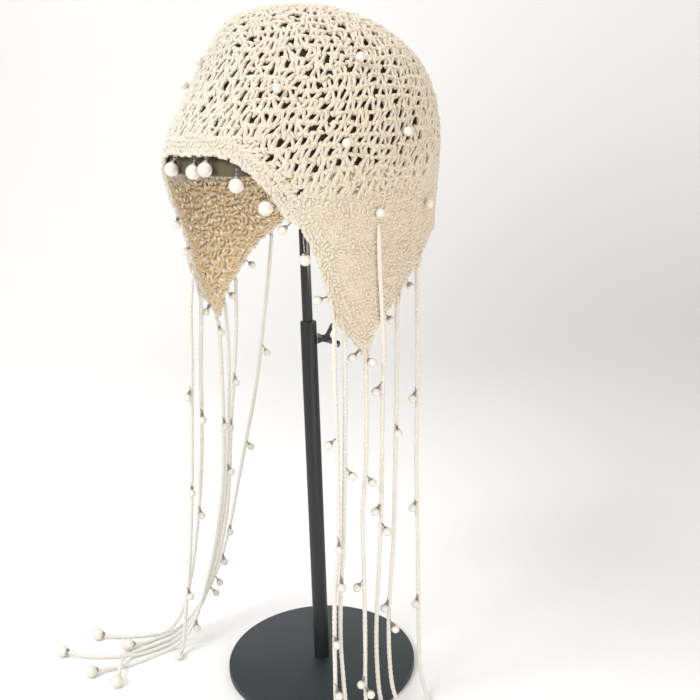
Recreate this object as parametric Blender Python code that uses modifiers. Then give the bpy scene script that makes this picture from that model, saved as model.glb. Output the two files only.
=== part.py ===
# A crocheted cap with two pointed ear flaps, hung with pearls and long cords, on a plain hat stand.
# Units are metres and +Z is up. The wearer faces -Y, so the wearer's left is +X.
# The origin is the centre of the stand's underside.
import math

import bmesh
import bpy
import numpy as np
from mathutils import Matrix, Vector

# Gaps between pieces that touch on the real thing
SEAT_GAP = 0.0003

# Stand
BASE_RADIUS = 0.075
BASE_THICKNESS = 0.006
BASE_ROUNDING = 0.0012
TUBE_RADIUS = 0.006
TUBE_TOP = 0.2855
TUBE_ROUNDING = 0.0012
ROD_RADIUS = 0.0038
ROD_OFFSET = 0.0004
ROD_HIDDEN_LENGTH = 0.060
ROD_TOP_GAP = 0.0010
SCREW_DROP = 0.0135
SCREW_HUB_RADIUS = 0.0042
SCREW_HUB_LENGTH = 0.0095
SCREW_AZIMUTH = math.radians(47)
WING_LENGTH = 0.0115
WING_WIDTH = 0.0062
WING_THICKNESS = 0.0026
DOME_WALL = 0.003
DOME_GAP = 0.0008
DOME_DEPTH = 0.104

# Hat
HAT_TOP = 0.503
HAT_WIDTH = 0.188
HAT_LENGTH = 0.196
RIM_DEPTH = 0.103
FRONT_DEPTH = 0.094
NAPE_DEPTH = 0.153
FLAP_DEPTH = 0.225
CROWN_WALL = 0.003
FLAP_WALL = 0.003
FLAP_TAPER = 0.079
TAPER_DEPTH = 0.100
CROWN_LEAN = 0.0115

# The crown's net
NET_COLUMNS = 16
NET_ROWS = 6
NET_BORDER = 0.085
NET_CLOSED_TOP = 0.13
NET_HOLE_SHARE = 0.60
NET_BULGE = 0.16
DOME_RINGS = (0.0, 0.17, 0.34, 0.50, 0.65, 0.79, 0.91)

# Flap meshes
FLAP_ROWS = 4
FLAP_LEAST_HEIGHT = 0.003
FLAP_GAP = 0.0007
EDGE_BAND = 0.010

# Pearls
CROWN_PEARL_RADIUS = 0.003
LARGE_PEARL_RADIUS = 0.0047
CORNER_PEARL_RADIUS = 0.0038
CHARM_PEARL_RADIUS = 0.003
END_PEARL_RADIUS = 0.005
SMALL_END_PEARL_RADIUS = 0.0035
PIN_RADIUS = 0.0006
CHARM_PIN_LENGTH = 0.0032
PEARL_SIDES = 10
PEARL_RINGS = 5

# Cords
CORD_RADIUS = 0.0015
FLOOR_GAP = 0.0001
CORD_LONGEST_STEP = 0.026
CORD_TURN = math.radians(15)

# The hat's level sections, upwards from its widest one: height as a share of RIM_DEPTH,
# size as a share of HAT_WIDTH and HAT_LENGTH, backward shift as a share of CROWN_LEAN.
SECTION_COLUMNS = ("height", "size", "shift")
SECTIONS = (
    (0.00, 1.000, 0.00),
    (0.12, 0.994, 0.22),
    (0.23, 0.972, 0.43),
    (0.39, 0.917, 0.83),
    (0.52, 0.856, 1.00),
    (0.65, 0.779, 1.00),
    (0.77, 0.674, 0.74),
    (0.87, 0.550, 0.30),
    (0.94, 0.410, -0.17),
    (0.98, 0.250, -0.17),
    (1.00, 0.000, -0.17),
)

# The lower edge, from the middle of the front round to the nape, the same on both sides:
# angle in degrees, and drop below the front edge as a share of FLAP_DEPTH - FRONT_DEPTH.
# Past the flap the edge is level at NAPE_DEPTH.
EDGE_COLUMNS = ("angle", "drop")
EDGE = (
    (0, 0.000),
    (16, 0.000),
    (22, 0.012),
    (28, 0.053),
    (33, 0.100),
    (38, 0.176),
    (43, 0.279),
    (48, 0.324),
    (51, 0.382),
    (54, 0.458),
    (57, 0.573),
    (60, 0.725),
    (64, 0.832),
    (70, 0.920),
    (75.5, 1.000),
    (81, 0.878),
    (86, 0.802),
    (93, 0.733),
    (100, 0.634),
    (108, 0.557),
    (116, 0.496),
)
FLAP_ANGLES = (52.5, 54.5, 56.25, 58, 60, 63, 66.5, 70, 73, 75.5, 78, 81, 86, 91, 96, 102, 108, 114, 118)

# Large pearls that hang straight down from the front edge: angle from the front, and drop
HANGING_COLUMNS = ("angle", "drop")
FRONT_PEARLS = (
    (-9.9, 0.0078),
    (5.7, 0.0086),
    (12.4, 0.0068),
    (26.4, 0.0100),
    (37.2, 0.0084),
)
CORNER_PEARL = (50.7, 0.0142)
# Small pearls on pins that stand out from the flaps' edges
CHARM_ANGLES = (-49.5, -56, -68.5, -83, -97, 59, 73.2, 86.5, 99, 45.5)
# Pearls sewn on the crown: angle in degrees and place up the crown's side, as a share of its curve
CROWN_PEARL_COLUMNS = ("angle", "share up the side")
CROWN_PEARLS = (
    (37, 0.363),
    (73, 0.573),
    (65.5, 0.313),
    (91.5, 0.338),
    (80, 0.106),
    (-18.5, 0.425),
    (-34, 0.374),
    (109, 0.111),
    (-78.5, 0.511),
    (-102.5, 0.323),
    (166, 0.479),
    (-150, 0.562),
)

# Cord routes from the flap's edge to the end pearl, point by point. They stay as chosen.
# Each row: name, end pearl's radius, end pearl's centre, route.
CORDS = (
    (
        "right_1",
        SMALL_END_PEARL_RADIUS,
        (-0.0860, -0.0812, 0.0037),
        (
            (-0.0738, -0.0483, 0.3199), (-0.0768, -0.0505, 0.290), (-0.0780, -0.0520, 0.255),
            (-0.0800, -0.0550, 0.204), (-0.0820, -0.0580, 0.154), (-0.0830, -0.0620, 0.111),
            (-0.0855, -0.0650, 0.076), (-0.0875, -0.0690, 0.047), (-0.0895, -0.0710, 0.027),
            (-0.0906, -0.0724, 0.014), (-0.0902, -0.0740, 0.0062), (-0.0882, -0.0773, 0.0037),
        ),
    ),
    (
        "right_2",
        END_PEARL_RADIUS,
        (-0.1610, -0.1140, 0.0051),
        (
            (-0.0758, -0.0412, 0.3016), (-0.0765, -0.0420, 0.280), (-0.0780, -0.0440, 0.250),
            (-0.0800, -0.0460, 0.201), (-0.0830, -0.0480, 0.159), (-0.0895, -0.0520, 0.108),
            (-0.0960, -0.0555, 0.070), (-0.1040, -0.0585, 0.040), (-0.1125, -0.0615, 0.020),
            (-0.1210, -0.0660, 0.007), (-0.1280, -0.0735, 0.0019), (-0.1355, -0.0850, 0.0016),
            (-0.1455, -0.0970, 0.0016), (-0.1530, -0.1052, 0.0026), (-0.1574, -0.1100, 0.0044),
        ),
    ),
    (
        "right_3",
        END_PEARL_RADIUS,
        (-0.1170, -0.1440, 0.0051),
        (
            (-0.0805, -0.0236, 0.2777), (-0.0795, -0.0240, 0.254), (-0.0805, -0.0250, 0.196),
            (-0.0820, -0.0275, 0.152), (-0.0850, -0.0330, 0.108), (-0.0885, -0.0420, 0.070),
            (-0.0920, -0.0520, 0.038), (-0.0950, -0.0610, 0.018), (-0.0985, -0.0715, 0.0060),
            (-0.1025, -0.0830, 0.0018), (-0.1040, -0.0980, 0.0016), (-0.1065, -0.1130, 0.0016),
            (-0.1110, -0.1260, 0.0020), (-0.1158, -0.1388, 0.0045),
        ),
    ),
    (
        "right_4",
        END_PEARL_RADIUS,
        (-0.0900, -0.1360, 0.0055),
        (
            (-0.0835, -0.0140, 0.2900), (-0.0830, -0.0140, 0.251), (-0.0840, -0.0180, 0.193),
            (-0.0850, -0.0220, 0.150), (-0.0885, -0.0280, 0.105), (-0.0930, -0.0370, 0.068),
            (-0.0975, -0.0470, 0.037), (-0.1005, -0.0560, 0.019), (-0.1045, -0.0680, 0.0060),
            (-0.1085, -0.0790, 0.0018), (-0.1110, -0.0920, 0.0016), (-0.1140, -0.1040, 0.0020),
            (-0.1155, -0.1120, 0.0042), (-0.1115, -0.1188, 0.0060), (-0.1040, -0.1245, 0.0060),
            (-0.0939, -0.1323, 0.0056),
        ),
    ),
    (
        "right_5",
        END_PEARL_RADIUS,
        (-0.1600, -0.1470, 0.0051),
        (
            (-0.0857, -0.0005, 0.3069), (-0.0865, -0.0030, 0.265), (-0.0870, -0.0080, 0.224),
            (-0.0880, -0.0125, 0.190), (-0.0890, -0.0165, 0.147), (-0.0920, -0.0220, 0.102),
            (-0.0965, -0.0310, 0.066), (-0.1010, -0.0410, 0.038), (-0.1050, -0.0510, 0.020),
            (-0.1100, -0.0630, 0.0070), (-0.1150, -0.0740, 0.0018), (-0.1165, -0.0860, 0.0016),
            (-0.1185, -0.0980, 0.0016), (-0.1225, -0.1130, 0.0016), (-0.1340, -0.1270, 0.0016),
            (-0.1470, -0.1380, 0.0024), (-0.1557, -0.1438, 0.0045),
        ),
    ),
    (
        "right_6",
        END_PEARL_RADIUS,
        (-0.1280, -0.1040, 0.0051),
        (
            (-0.0816, 0.0347, 0.3385), (-0.0850, 0.0310, 0.301), (-0.0865, 0.0240, 0.260),
            (-0.0880, 0.0140, 0.210), (-0.0905, 0.0030, 0.168), (-0.0935, -0.0080, 0.125),
            (-0.0965, -0.0170, 0.089), (-0.1010, -0.0270, 0.058), (-0.1060, -0.0360, 0.037),
            (-0.1110, -0.0460, 0.020), (-0.1165, -0.0570, 0.0075), (-0.1215, -0.0670, 0.0019),
            (-0.1235, -0.0780, 0.0016), (-0.1245, -0.0880, 0.0020), (-0.1268, -0.0987, 0.0044),
        ),
    ),
    (
        "left_1",
        SMALL_END_PEARL_RADIUS,
        (0.0846, -0.1050, 0.0037),
        (
            (0.0755, -0.0422, 0.3033), (0.0752, -0.0430, 0.282), (0.0750, -0.0430, 0.245),
            (0.0750, -0.0430, 0.208), (0.0740, -0.0430, 0.174), (0.0740, -0.0440, 0.147),
            (0.0722, -0.0470, 0.113), (0.0715, -0.0485, 0.073), (0.0718, -0.0495, 0.041),
            (0.0730, -0.0515, 0.018), (0.0755, -0.0570, 0.0060), (0.0790, -0.0670, 0.0017),
            (0.0810, -0.0790, 0.0016), (0.0825, -0.0920, 0.0022), (0.0841, -0.1012, 0.0036),
        ),
    ),
    (
        "left_2",
        END_PEARL_RADIUS,
        (0.1120, -0.1290, 0.0051),
        (
            (0.0776, -0.0356, 0.2931), (0.0768, -0.0362, 0.250), (0.0755, -0.0370, 0.208),
            (0.0742, -0.0380, 0.172), (0.0735, -0.0390, 0.145), (0.0722, -0.0415, 0.111),
            (0.0718, -0.0430, 0.070), (0.0735, -0.0430, 0.038), (0.0765, -0.0445, 0.017),
            (0.0820, -0.0520, 0.0055), (0.0880, -0.0640, 0.0017), (0.0930, -0.0800, 0.0016),
            (0.0990, -0.0970, 0.0016), (0.1060, -0.1130, 0.0024), (0.1098, -0.1241, 0.0045),
        ),
    ),
    (
        "left_3",
        END_PEARL_RADIUS,
        (0.1390, -0.1130, 0.0051),
        (
            (0.0813, -0.0206, 0.2773), (0.0810, -0.0212, 0.241), (0.0800, -0.0220, 0.199),
            (0.0785, -0.0245, 0.168), (0.0785, -0.0250, 0.130), (0.0785, -0.0250, 0.096),
            (0.0782, -0.0255, 0.054), (0.0785, -0.0265, 0.034), (0.0810, -0.0285, 0.016),
            (0.0880, -0.0340, 0.0055), (0.0980, -0.0450, 0.0017), (0.1060, -0.0600, 0.0016),
            (0.1130, -0.0760, 0.0016), (0.1240, -0.0920, 0.0018), (0.1357, -0.1088, 0.0045),
        ),
    ),
    (
        "left_4",
        END_PEARL_RADIUS,
        (0.1520, -0.0850, 0.0051),
        (
            (0.0920, -0.0171, 0.3650), (0.0904, -0.0153, 0.340), (0.0886, -0.0122, 0.310),
            (0.0868, -0.0095, 0.280), (0.0840, -0.0085, 0.250), (0.0822, -0.0090, 0.192),
            (0.0815, -0.0105, 0.149), (0.0798, -0.0130, 0.102), (0.0785, -0.0140, 0.070),
            (0.0790, -0.0145, 0.042), (0.0815, -0.0150, 0.019), (0.0890, -0.0180, 0.0060),
            (0.1010, -0.0260, 0.0017), (0.1120, -0.0390, 0.0016), (0.1230, -0.0530, 0.0016),
            (0.1370, -0.0680, 0.0020), (0.1484, -0.0810, 0.0045),
        ),
    ),
    (
        "left_5",
        END_PEARL_RADIUS,
        (0.1640, -0.0590, 0.0051),
        (
            (0.0860, 0.0045, 0.3112), (0.0850, 0.0048, 0.277), (0.0840, 0.0040, 0.228),
            (0.0830, 0.0030, 0.183), (0.0820, 0.0015, 0.136), (0.0805, -0.0005, 0.105),
            (0.0798, -0.0025, 0.072), (0.0805, -0.0030, 0.042), (0.0835, -0.0030, 0.018),
            (0.0910, -0.0040, 0.0060), (0.1040, -0.0100, 0.0017), (0.1170, -0.0210, 0.0016),
            (0.1310, -0.0320, 0.0016), (0.1460, -0.0430, 0.0020), (0.1599, -0.0555, 0.0045),
        ),
    ),
    (
        "left_6",
        END_PEARL_RADIUS,
        (0.1630, -0.0240, 0.0051),
        (
            (0.0838, 0.0268, 0.3329), (0.0843, 0.0262, 0.294), (0.0840, 0.0260, 0.251),
            (0.0832, 0.0250, 0.192), (0.0838, 0.0250, 0.137), (0.0840, 0.0250, 0.086),
            (0.0842, 0.0250, 0.046), (0.0860, 0.0250, 0.019), (0.0920, 0.0235, 0.0060),
            (0.1020, 0.0180, 0.0018), (0.1160, 0.0080, 0.0016), (0.1310, -0.0020, 0.0016),
            (0.1450, -0.0120, 0.0020), (0.1585, -0.0210, 0.0045),
        ),
    ),
)

# Colours: red, green, blue, roughness, metallic
YARN = (0.86, 0.80, 0.67, 0.90, 0.0)
PEARL = (0.93, 0.90, 0.85, 0.22, 0.0)
BLACK_PAINT = (0.035, 0.037, 0.040, 0.45, 0.2)

parts = None
cutters = None


def clear_scene():
    for thing in list(bpy.data.objects):
        bpy.data.objects.remove(thing, do_unlink=True)


def new_collection(name):
    collection = bpy.data.collections.new(name)
    bpy.context.scene.collection.children.link(collection)
    return collection


def material_for(name, look):
    material = bpy.data.materials.new(name)
    material.use_nodes = True
    shader = material.node_tree.nodes["Principled BSDF"]
    shader.inputs["Base Color"].default_value = (*look[:3], 1.0)
    shader.inputs["Roughness"].default_value = look[3]
    shader.inputs["Metallic"].default_value = look[4]
    return material


def add_mesh(name, bm, look, location=(0, 0, 0)):
    """Turns a bmesh into a named part with a material of its own."""
    mesh = bpy.data.meshes.new(name)
    bm.to_mesh(mesh)
    bm.free()
    mesh.shade_smooth()
    mesh.set_sharp_from_angle(angle=math.radians(40))
    piece = bpy.data.objects.new(name, mesh)
    piece.location = location
    mesh.materials.append(material_for(name, look))
    parts.objects.link(piece)
    return piece


def turned(name, profile, sides, look, location=(0, 0, 0)):
    """A turned piece: the profile, radius and height from its top downwards, swept round Z."""
    bm = bmesh.new()
    is_ring = profile[0] == profile[-1]
    points = [bm.verts.new((radius, 0, height)) for radius, height in profile[: len(profile) - is_ring]]
    for start, end in zip(points, points[1:] + points[:1] * is_ring):
        bm.edges.new((start, end))
    piece = add_mesh(name, bm, look, location)
    screw = piece.modifiers.new("turn", "SCREW")
    screw.steps = sides
    screw.render_steps = sides
    screw.use_merge_vertices = True
    screw.merge_threshold = 0.00001
    return piece


def shell(piece, wall):
    """Thickens an open surface inwards."""
    solid = piece.modifiers.new("wall", "SOLIDIFY")
    solid.thickness = wall
    solid.offset = -1
    solid.use_even_offset = True
    solid.use_quality_normals = True
    return piece


def section(height):
    """Size share and backward shift of the hat's level section at a height."""
    rim = HAT_TOP - RIM_DEPTH
    if height < rim:
        return 1 - FLAP_TAPER * (rim - height) / TAPER_DEPTH, 0.0
    share = (height - rim) / RIM_DEPTH
    rows = np.array(SECTIONS)
    size = float(np.interp(share, rows[:, 0], rows[:, 1]))
    shift = float(np.interp(share, rows[:, 0], rows[:, 2]))
    return size, shift * CROWN_LEAN


def on_hat(angle, height, out=0.0):
    """A point on the hat's outer face, or out metres off it. The angle is from the front, towards +X."""
    size, shift = section(height)
    across = HAT_WIDTH / 2 * size + out
    along = HAT_LENGTH / 2 * size + out
    return Vector((across * math.sin(angle), shift - along * math.cos(angle), height))


def edge_height(degrees):
    """Height of the hat's lower edge at an angle from the front."""
    turn = abs((degrees + 180) % 360 - 180)
    nape = HAT_TOP - NAPE_DEPTH
    rows = np.array(EDGE)
    if turn > rows[-1, 0]:
        last = HAT_TOP - FRONT_DEPTH - rows[-1, 1] * (FLAP_DEPTH - FRONT_DEPTH)
        return max(min(last, nape), nape - (turn < FLAP_ANGLES[-1]) * FLAP_LEAST_HEIGHT)
    drop = float(np.interp(turn, rows[:, 0], rows[:, 1]))
    return HAT_TOP - FRONT_DEPTH - drop * (FLAP_DEPTH - FRONT_DEPTH)


def crown_column_edge(degrees):
    """Height of the crown's lower edge at one of its columns. The flaps hang below it."""
    return max(edge_height(degrees), HAT_TOP - NAPE_DEPTH)


def straight_between(degrees, before, after, heights):
    """Height of a straight edge between two of a mesh's columns, each with its height."""
    gone = math.sin(math.radians(degrees - before))
    ahead = math.sin(math.radians(after - degrees))
    share = gone / (gone + ahead)
    return (1 - share) * heights[0] + share * heights[1]


def crown_edge(degrees):
    """Height of the crown's lower edge as its mesh has it."""
    step = 360 / (2 * NET_COLUMNS)
    before = math.floor(degrees / step) * step
    after = before + step
    return straight_between(degrees, before, after, (crown_column_edge(before), crown_column_edge(after)))


def flap_edge(degrees):
    """Height of a flap's lower edge as its mesh has it."""
    after = next(angle for angle in FLAP_ANGLES if angle > degrees)
    before = FLAP_ANGLES[FLAP_ANGLES.index(after) - 1]
    return straight_between(degrees, before, after, (edge_height(before), edge_height(after)))


def heights_up(low, top, shares):
    """Heights at shares of the way up the hat's side, measured along its curve."""
    fine = np.linspace(low, top, 160)
    sizes = np.array([section(float(h))[0] for h in fine])
    run = np.hypot(np.diff(sizes) * HAT_LENGTH / 2, np.diff(fine))
    along = np.concatenate([[0.0], np.cumsum(run)])
    return np.interp(np.array(shares) * along[-1], along, fine)


def net_rings():
    """Ring positions up the crown, as shares of its curve, and which bands hold holes."""
    pitch = (1 - NET_BORDER - NET_CLOSED_TOP) / NET_ROWS
    shares = [0.0]
    bands = []
    for row in range(NET_ROWS):
        low = NET_BORDER + row * pitch
        high = low + NET_HOLE_SHARE * pitch
        bands += [(len(shares), row), (len(shares) + 1, row)]
        shares += [low, (low + high) / 2, high]
    shares.append((1 + shares[-1]) / 2)
    return shares, dict(bands)


def build_crown():
    """The openwork crown: a net of columns and rings with every other cell of each row left out."""
    columns = 2 * NET_COLUMNS
    step = 360 / columns
    shares, hole_bands = net_rings()
    top = HAT_TOP
    bm = bmesh.new()
    rings = [[] for _ in shares]
    for column in range(columns):
        degrees = column * step
        heights = heights_up(crown_column_edge(degrees), top, shares)
        for ring, height in enumerate(heights):
            row = hole_bands.get(ring - 1) if ring - 1 in hole_bands and ring in hole_bands else None
            bulge = 0.0
            if row is not None:
                opens_after = (column + row) % 2 == 0
                bulge = (-1 if opens_after else 1) * NET_BULGE * step
            rings[ring].append(bm.verts.new(on_hat(math.radians(degrees + bulge), float(height))))
    for ring in range(len(rings) - 1):
        row = hole_bands.get(ring)
        for column in range(columns):
            if row is not None and (column + row) % 2 == 0:
                continue
            after = (column + 1) % columns
            low, high = rings[ring], rings[ring + 1]
            bm.faces.new((low[column], low[after], high[after], high[column]))
    apex = bm.verts.new(on_hat(0.0, top))
    last = rings[-1]
    for column in range(columns):
        bm.faces.new((last[column], last[(column + 1) % columns], apex))
    bm.normal_update()
    return shell(add_mesh("crown", bm, YARN), CROWN_WALL)


def build_flap(name, side):
    """A pointed ear flap: the dense cloth between the crown's edge and the hat's lower edge."""
    bm = bmesh.new()
    columns = []
    for degrees in FLAP_ANGLES:
        high = crown_edge(degrees) - FLAP_GAP
        low = min(edge_height(degrees), high - FLAP_LEAST_HEIGHT)
        column = []
        for row in range(FLAP_ROWS + 1):
            height = low + (high - low) * row / FLAP_ROWS
            column.append(bm.verts.new(on_hat(math.radians(side * degrees), height)))
        columns.append(column)
    for left, right in zip(columns, columns[1:]):
        for row in range(FLAP_ROWS):
            corners = [left[row], right[row], right[row + 1], left[row + 1]]
            bm.faces.new(corners if side > 0 else corners[::-1])
    bm.normal_update()
    return shell(add_mesh(name, bm, YARN), FLAP_WALL)


def pearl_profile(radius, pin_radius=0.0, pin_length=0.0):
    """Half outline of a pearl round (0, 0), from its top down, with a pin on top where one is asked for."""
    profile = []
    first = 1
    if pin_length:
        profile = [(0.0, radius + pin_length), (pin_radius, radius + pin_length)]
        profile.append((pin_radius, math.sqrt(radius**2 - pin_radius**2)))
    else:
        profile = [(0.0, radius)]
    for ring in range(first, PEARL_RINGS):
        turn = math.pi * ring / PEARL_RINGS
        profile.append((radius * math.sin(turn), radius * math.cos(turn)))
    profile.append((0.0, -radius))
    return profile


def build_sewn_pearls():
    for number, (degrees, share) in enumerate(CROWN_PEARLS, start=1):
        height = float(heights_up(crown_column_edge(degrees), HAT_TOP, share))
        place = on_hat(math.radians(degrees), height, CROWN_PEARL_RADIUS + 2 * SEAT_GAP)
        profile = pearl_profile(CROWN_PEARL_RADIUS)
        turned(f"crown_pearl_{number:02d}", profile, PEARL_SIDES, PEARL, place)


def lower_edge(degrees):
    """A point on the hat's lower edge, in the middle of its wall, and the outward normal there."""
    turn = abs(degrees)
    height = crown_edge(turn) if turn < FLAP_ANGLES[0] else flap_edge(turn)
    angle = math.radians(degrees)
    along = on_hat(angle + 0.01, height) - on_hat(angle - 0.01, height)
    upwards = on_hat(angle, height + EDGE_BAND) - on_hat(angle, height)
    outwards = along.cross(upwards).normalized()
    return on_hat(angle, height) - outwards * (CROWN_WALL / 2), outwards


def pinned_pearl(name, foot, place, across, radius, gap):
    """A pearl at a place, on a pin that starts that gap short of the foot and points at it."""
    away = (place - foot).normalized()
    across = (across - away * across.dot(away)).normalized()
    pin_length = (place - foot).length - radius - gap
    pearl = turned(name, pearl_profile(radius, PIN_RADIUS, pin_length), PEARL_SIDES, PEARL)
    turn = Matrix((across, -away.cross(across), -away)).transposed()
    pearl.matrix_world = Matrix.Translation(place) @ turn.to_4x4()


def edge_directions(degrees):
    """The edge's point, its outward normal, and its direction there."""
    point, outwards = lower_edge(degrees)
    along = lower_edge(degrees + 0.4)[0] - lower_edge(degrees - 0.4)[0]
    return point, outwards, along.normalized()


def build_hanging_pearl(name, degrees, drop, radius, stand_off):
    """A pearl straight below the edge, and that far out from the middle of its wall."""
    point, outwards, along = edge_directions(degrees)
    level = Vector((outwards.x, outwards.y, 0)).normalized()
    place = point + level * stand_off - Vector((0, 0, drop))
    slope = math.asin(abs(along.z))
    gap = (1.5 * SEAT_GAP + PIN_RADIUS * math.sin(slope)) / math.cos(slope)
    pinned_pearl(name, point, place, outwards.cross(along), radius, gap)


def build_edge_charm(name, degrees):
    """A small pearl on a pin that stands out from the lower edge, square to it."""
    point, outwards, along = edge_directions(degrees)
    away = along.cross(outwards).normalized()
    gap = 1.5 * SEAT_GAP
    place = point + away * (gap + CHARM_PIN_LENGTH + CHARM_PEARL_RADIUS)
    pinned_pearl(name, point, place, along, CHARM_PEARL_RADIUS, gap)


def build_edge_pearls():
    against_dome = LARGE_PEARL_RADIUS - (CROWN_WALL / 2 + DOME_GAP) + 2 * SEAT_GAP
    for number, (degrees, drop) in enumerate(FRONT_PEARLS, start=1):
        build_hanging_pearl(f"front_pearl_{number}", degrees, drop, LARGE_PEARL_RADIUS, against_dome)
    degrees, drop = CORNER_PEARL
    build_hanging_pearl("corner_pearl", degrees, drop, CORNER_PEARL_RADIUS, 0.0)
    for number, degrees in enumerate(CHARM_ANGLES, start=1):
        build_edge_charm(f"edge_charm_{number:02d}", degrees)


def smooth_route(route, step=0.001):
    """A smooth curve through a cord's own points: a centripetal Catmull-Rom spline, kept off the floor."""
    points = np.array(route, float)
    points = np.vstack([2 * points[0] - points[1], points, 2 * points[-1] - points[-2]])
    curve = []
    for before, start, end, after in zip(points, points[1:], points[2:], points[3:]):
        knots = [0.0]
        for a, b in ((before, start), (start, end), (end, after)):
            knots.append(knots[-1] + math.sqrt(np.linalg.norm(b - a)))
        count = max(2, int(np.linalg.norm(end - start) / step))
        for t in np.linspace(knots[1], knots[2], count, endpoint=False):
            a1 = ((knots[1] - t) * before + (t - knots[0]) * start) / (knots[1] - knots[0])
            a2 = ((knots[2] - t) * start + (t - knots[1]) * end) / (knots[2] - knots[1])
            a3 = ((knots[3] - t) * end + (t - knots[2]) * after) / (knots[3] - knots[2])
            b1 = ((knots[2] - t) * a1 + (t - knots[0]) * a2) / (knots[2] - knots[0])
            b2 = ((knots[3] - t) * a2 + (t - knots[1]) * a3) / (knots[3] - knots[1])
            curve.append(((knots[2] - t) * b1 + (t - knots[1]) * b2) / (knots[2] - knots[1]))
    curve.append(points[-2])
    curve = np.array(curve)
    curve[:, 2] = np.maximum(curve[:, 2], CORD_RADIUS + FLOOR_GAP)
    return curve


def spaced(curve):
    """The curve's points that a tube needs: close together in a bend, far apart where it hangs straight."""
    kept = [curve[0]]
    heading = curve[1] - curve[0]
    for here, after in zip(curve[1:], curve[2:]):
        ahead = after - here
        turn = math.acos(max(-1.0, min(1.0, float(heading @ ahead) / float(np.linalg.norm(heading) * np.linalg.norm(ahead)))))
        if turn > CORD_TURN or np.linalg.norm(here - kept[-1]) > CORD_LONGEST_STEP:
            kept.append(here)
            heading = ahead
    if np.linalg.norm(curve[-1] - kept[-1]) < 2 * CORD_RADIUS:
        kept.pop()
    kept.append(curve[-1])
    return kept


def build_cords():
    for name, pearl_radius, pearl_centre, route in CORDS:
        points = spaced(smooth_route(route))
        line = bpy.data.curves.new(f"cord_{name}", "CURVE")
        line.dimensions = "3D"
        line.bevel_depth = CORD_RADIUS
        line.bevel_resolution = 2
        line.use_fill_caps = True
        spline = line.splines.new("POLY")
        spline.points.add(len(points) - 1)
        for target, point in zip(spline.points, points):
            target.co = (*point, 1.0)
        cord = bpy.data.objects.new(f"cord_{name}", line)
        line.materials.append(material_for(f"cord_{name}", YARN))
        parts.objects.link(cord)
        profile = pearl_profile(pearl_radius)
        turned(f"end_pearl_{name}", profile, PEARL_SIDES, PEARL, pearl_centre)


def dome_inset():
    """How far inside the hat's outer face the dome's outer face lies."""
    return CROWN_WALL + DOME_GAP


def build_dome():
    """A plain dome under the crown, open below, that the hat rests on."""
    bottom = HAT_TOP - DOME_DEPTH
    bm = bmesh.new()
    rings = []
    for height in heights_up(bottom, HAT_TOP, DOME_RINGS):
        angles = [2 * math.pi * column / NET_COLUMNS for column in range(NET_COLUMNS)]
        rings.append([bm.verts.new(on_hat(angle, float(height))) for angle in angles])
    apex = bm.verts.new(on_hat(0.0, HAT_TOP))
    for column in range(NET_COLUMNS):
        after = (column + 1) % NET_COLUMNS
        for low, high in zip(rings, rings[1:]):
            bm.faces.new((low[column], low[after], high[after], high[column]))
        bm.faces.new((rings[-1][column], rings[-1][after], apex))
    bm.normal_update()
    dome = add_mesh("stand_dome", bm, BLACK_PAINT)
    inset = dome.modifiers.new("inset", "DISPLACE")
    inset.direction = "NORMAL"
    inset.mid_level = 0
    inset.strength = -dome_inset()
    return shell(dome, DOME_WALL)


def build_stand():
    edge = BASE_ROUNDING
    turned(
        "stand_base",
        (
            (0, BASE_THICKNESS),
            (BASE_RADIUS - edge, BASE_THICKNESS),
            (BASE_RADIUS, BASE_THICKNESS - edge),
            (BASE_RADIUS, 0),
            (0, 0),
        ),
        36,
        BLACK_PAINT,
    )
    foot = BASE_THICKNESS + SEAT_GAP
    inner = ROD_RADIUS + ROD_OFFSET + SEAT_GAP
    turned(
        "stand_tube",
        (
            (inner, TUBE_TOP),
            (TUBE_RADIUS - TUBE_ROUNDING, TUBE_TOP),
            (TUBE_RADIUS, TUBE_TOP - TUBE_ROUNDING),
            (TUBE_RADIUS, foot),
            (inner, foot),
            (inner, TUBE_TOP),
        ),
        20,
        BLACK_PAINT,
    )
    rod_top = HAT_TOP - dome_inset() - DOME_WALL - ROD_TOP_GAP
    rod_foot = TUBE_TOP - ROD_HIDDEN_LENGTH
    profile = ((0, rod_top), (ROD_RADIUS, rod_top), (ROD_RADIUS, rod_foot), (0, rod_foot))
    offset = (-ROD_OFFSET * math.cos(SCREW_AZIMUTH), -ROD_OFFSET * math.sin(SCREW_AZIMUTH), 0)
    turned("stand_rod", profile, 16, BLACK_PAINT, offset)
    build_dome()
    build_wing_screw()


def solid_box(name, size, place):
    """A box with rounded edges, as a mesh object among the cutters."""
    bm = bmesh.new()
    bmesh.ops.create_cube(bm, size=1.0, matrix=place @ Matrix.Diagonal((*size, 1.0)))
    mesh = bpy.data.meshes.new(name)
    bm.to_mesh(mesh)
    bm.free()
    box = bpy.data.objects.new(name, mesh)
    box.hide_render = True
    box.display_type = "WIRE"
    cutters.objects.link(box)
    return box


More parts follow.
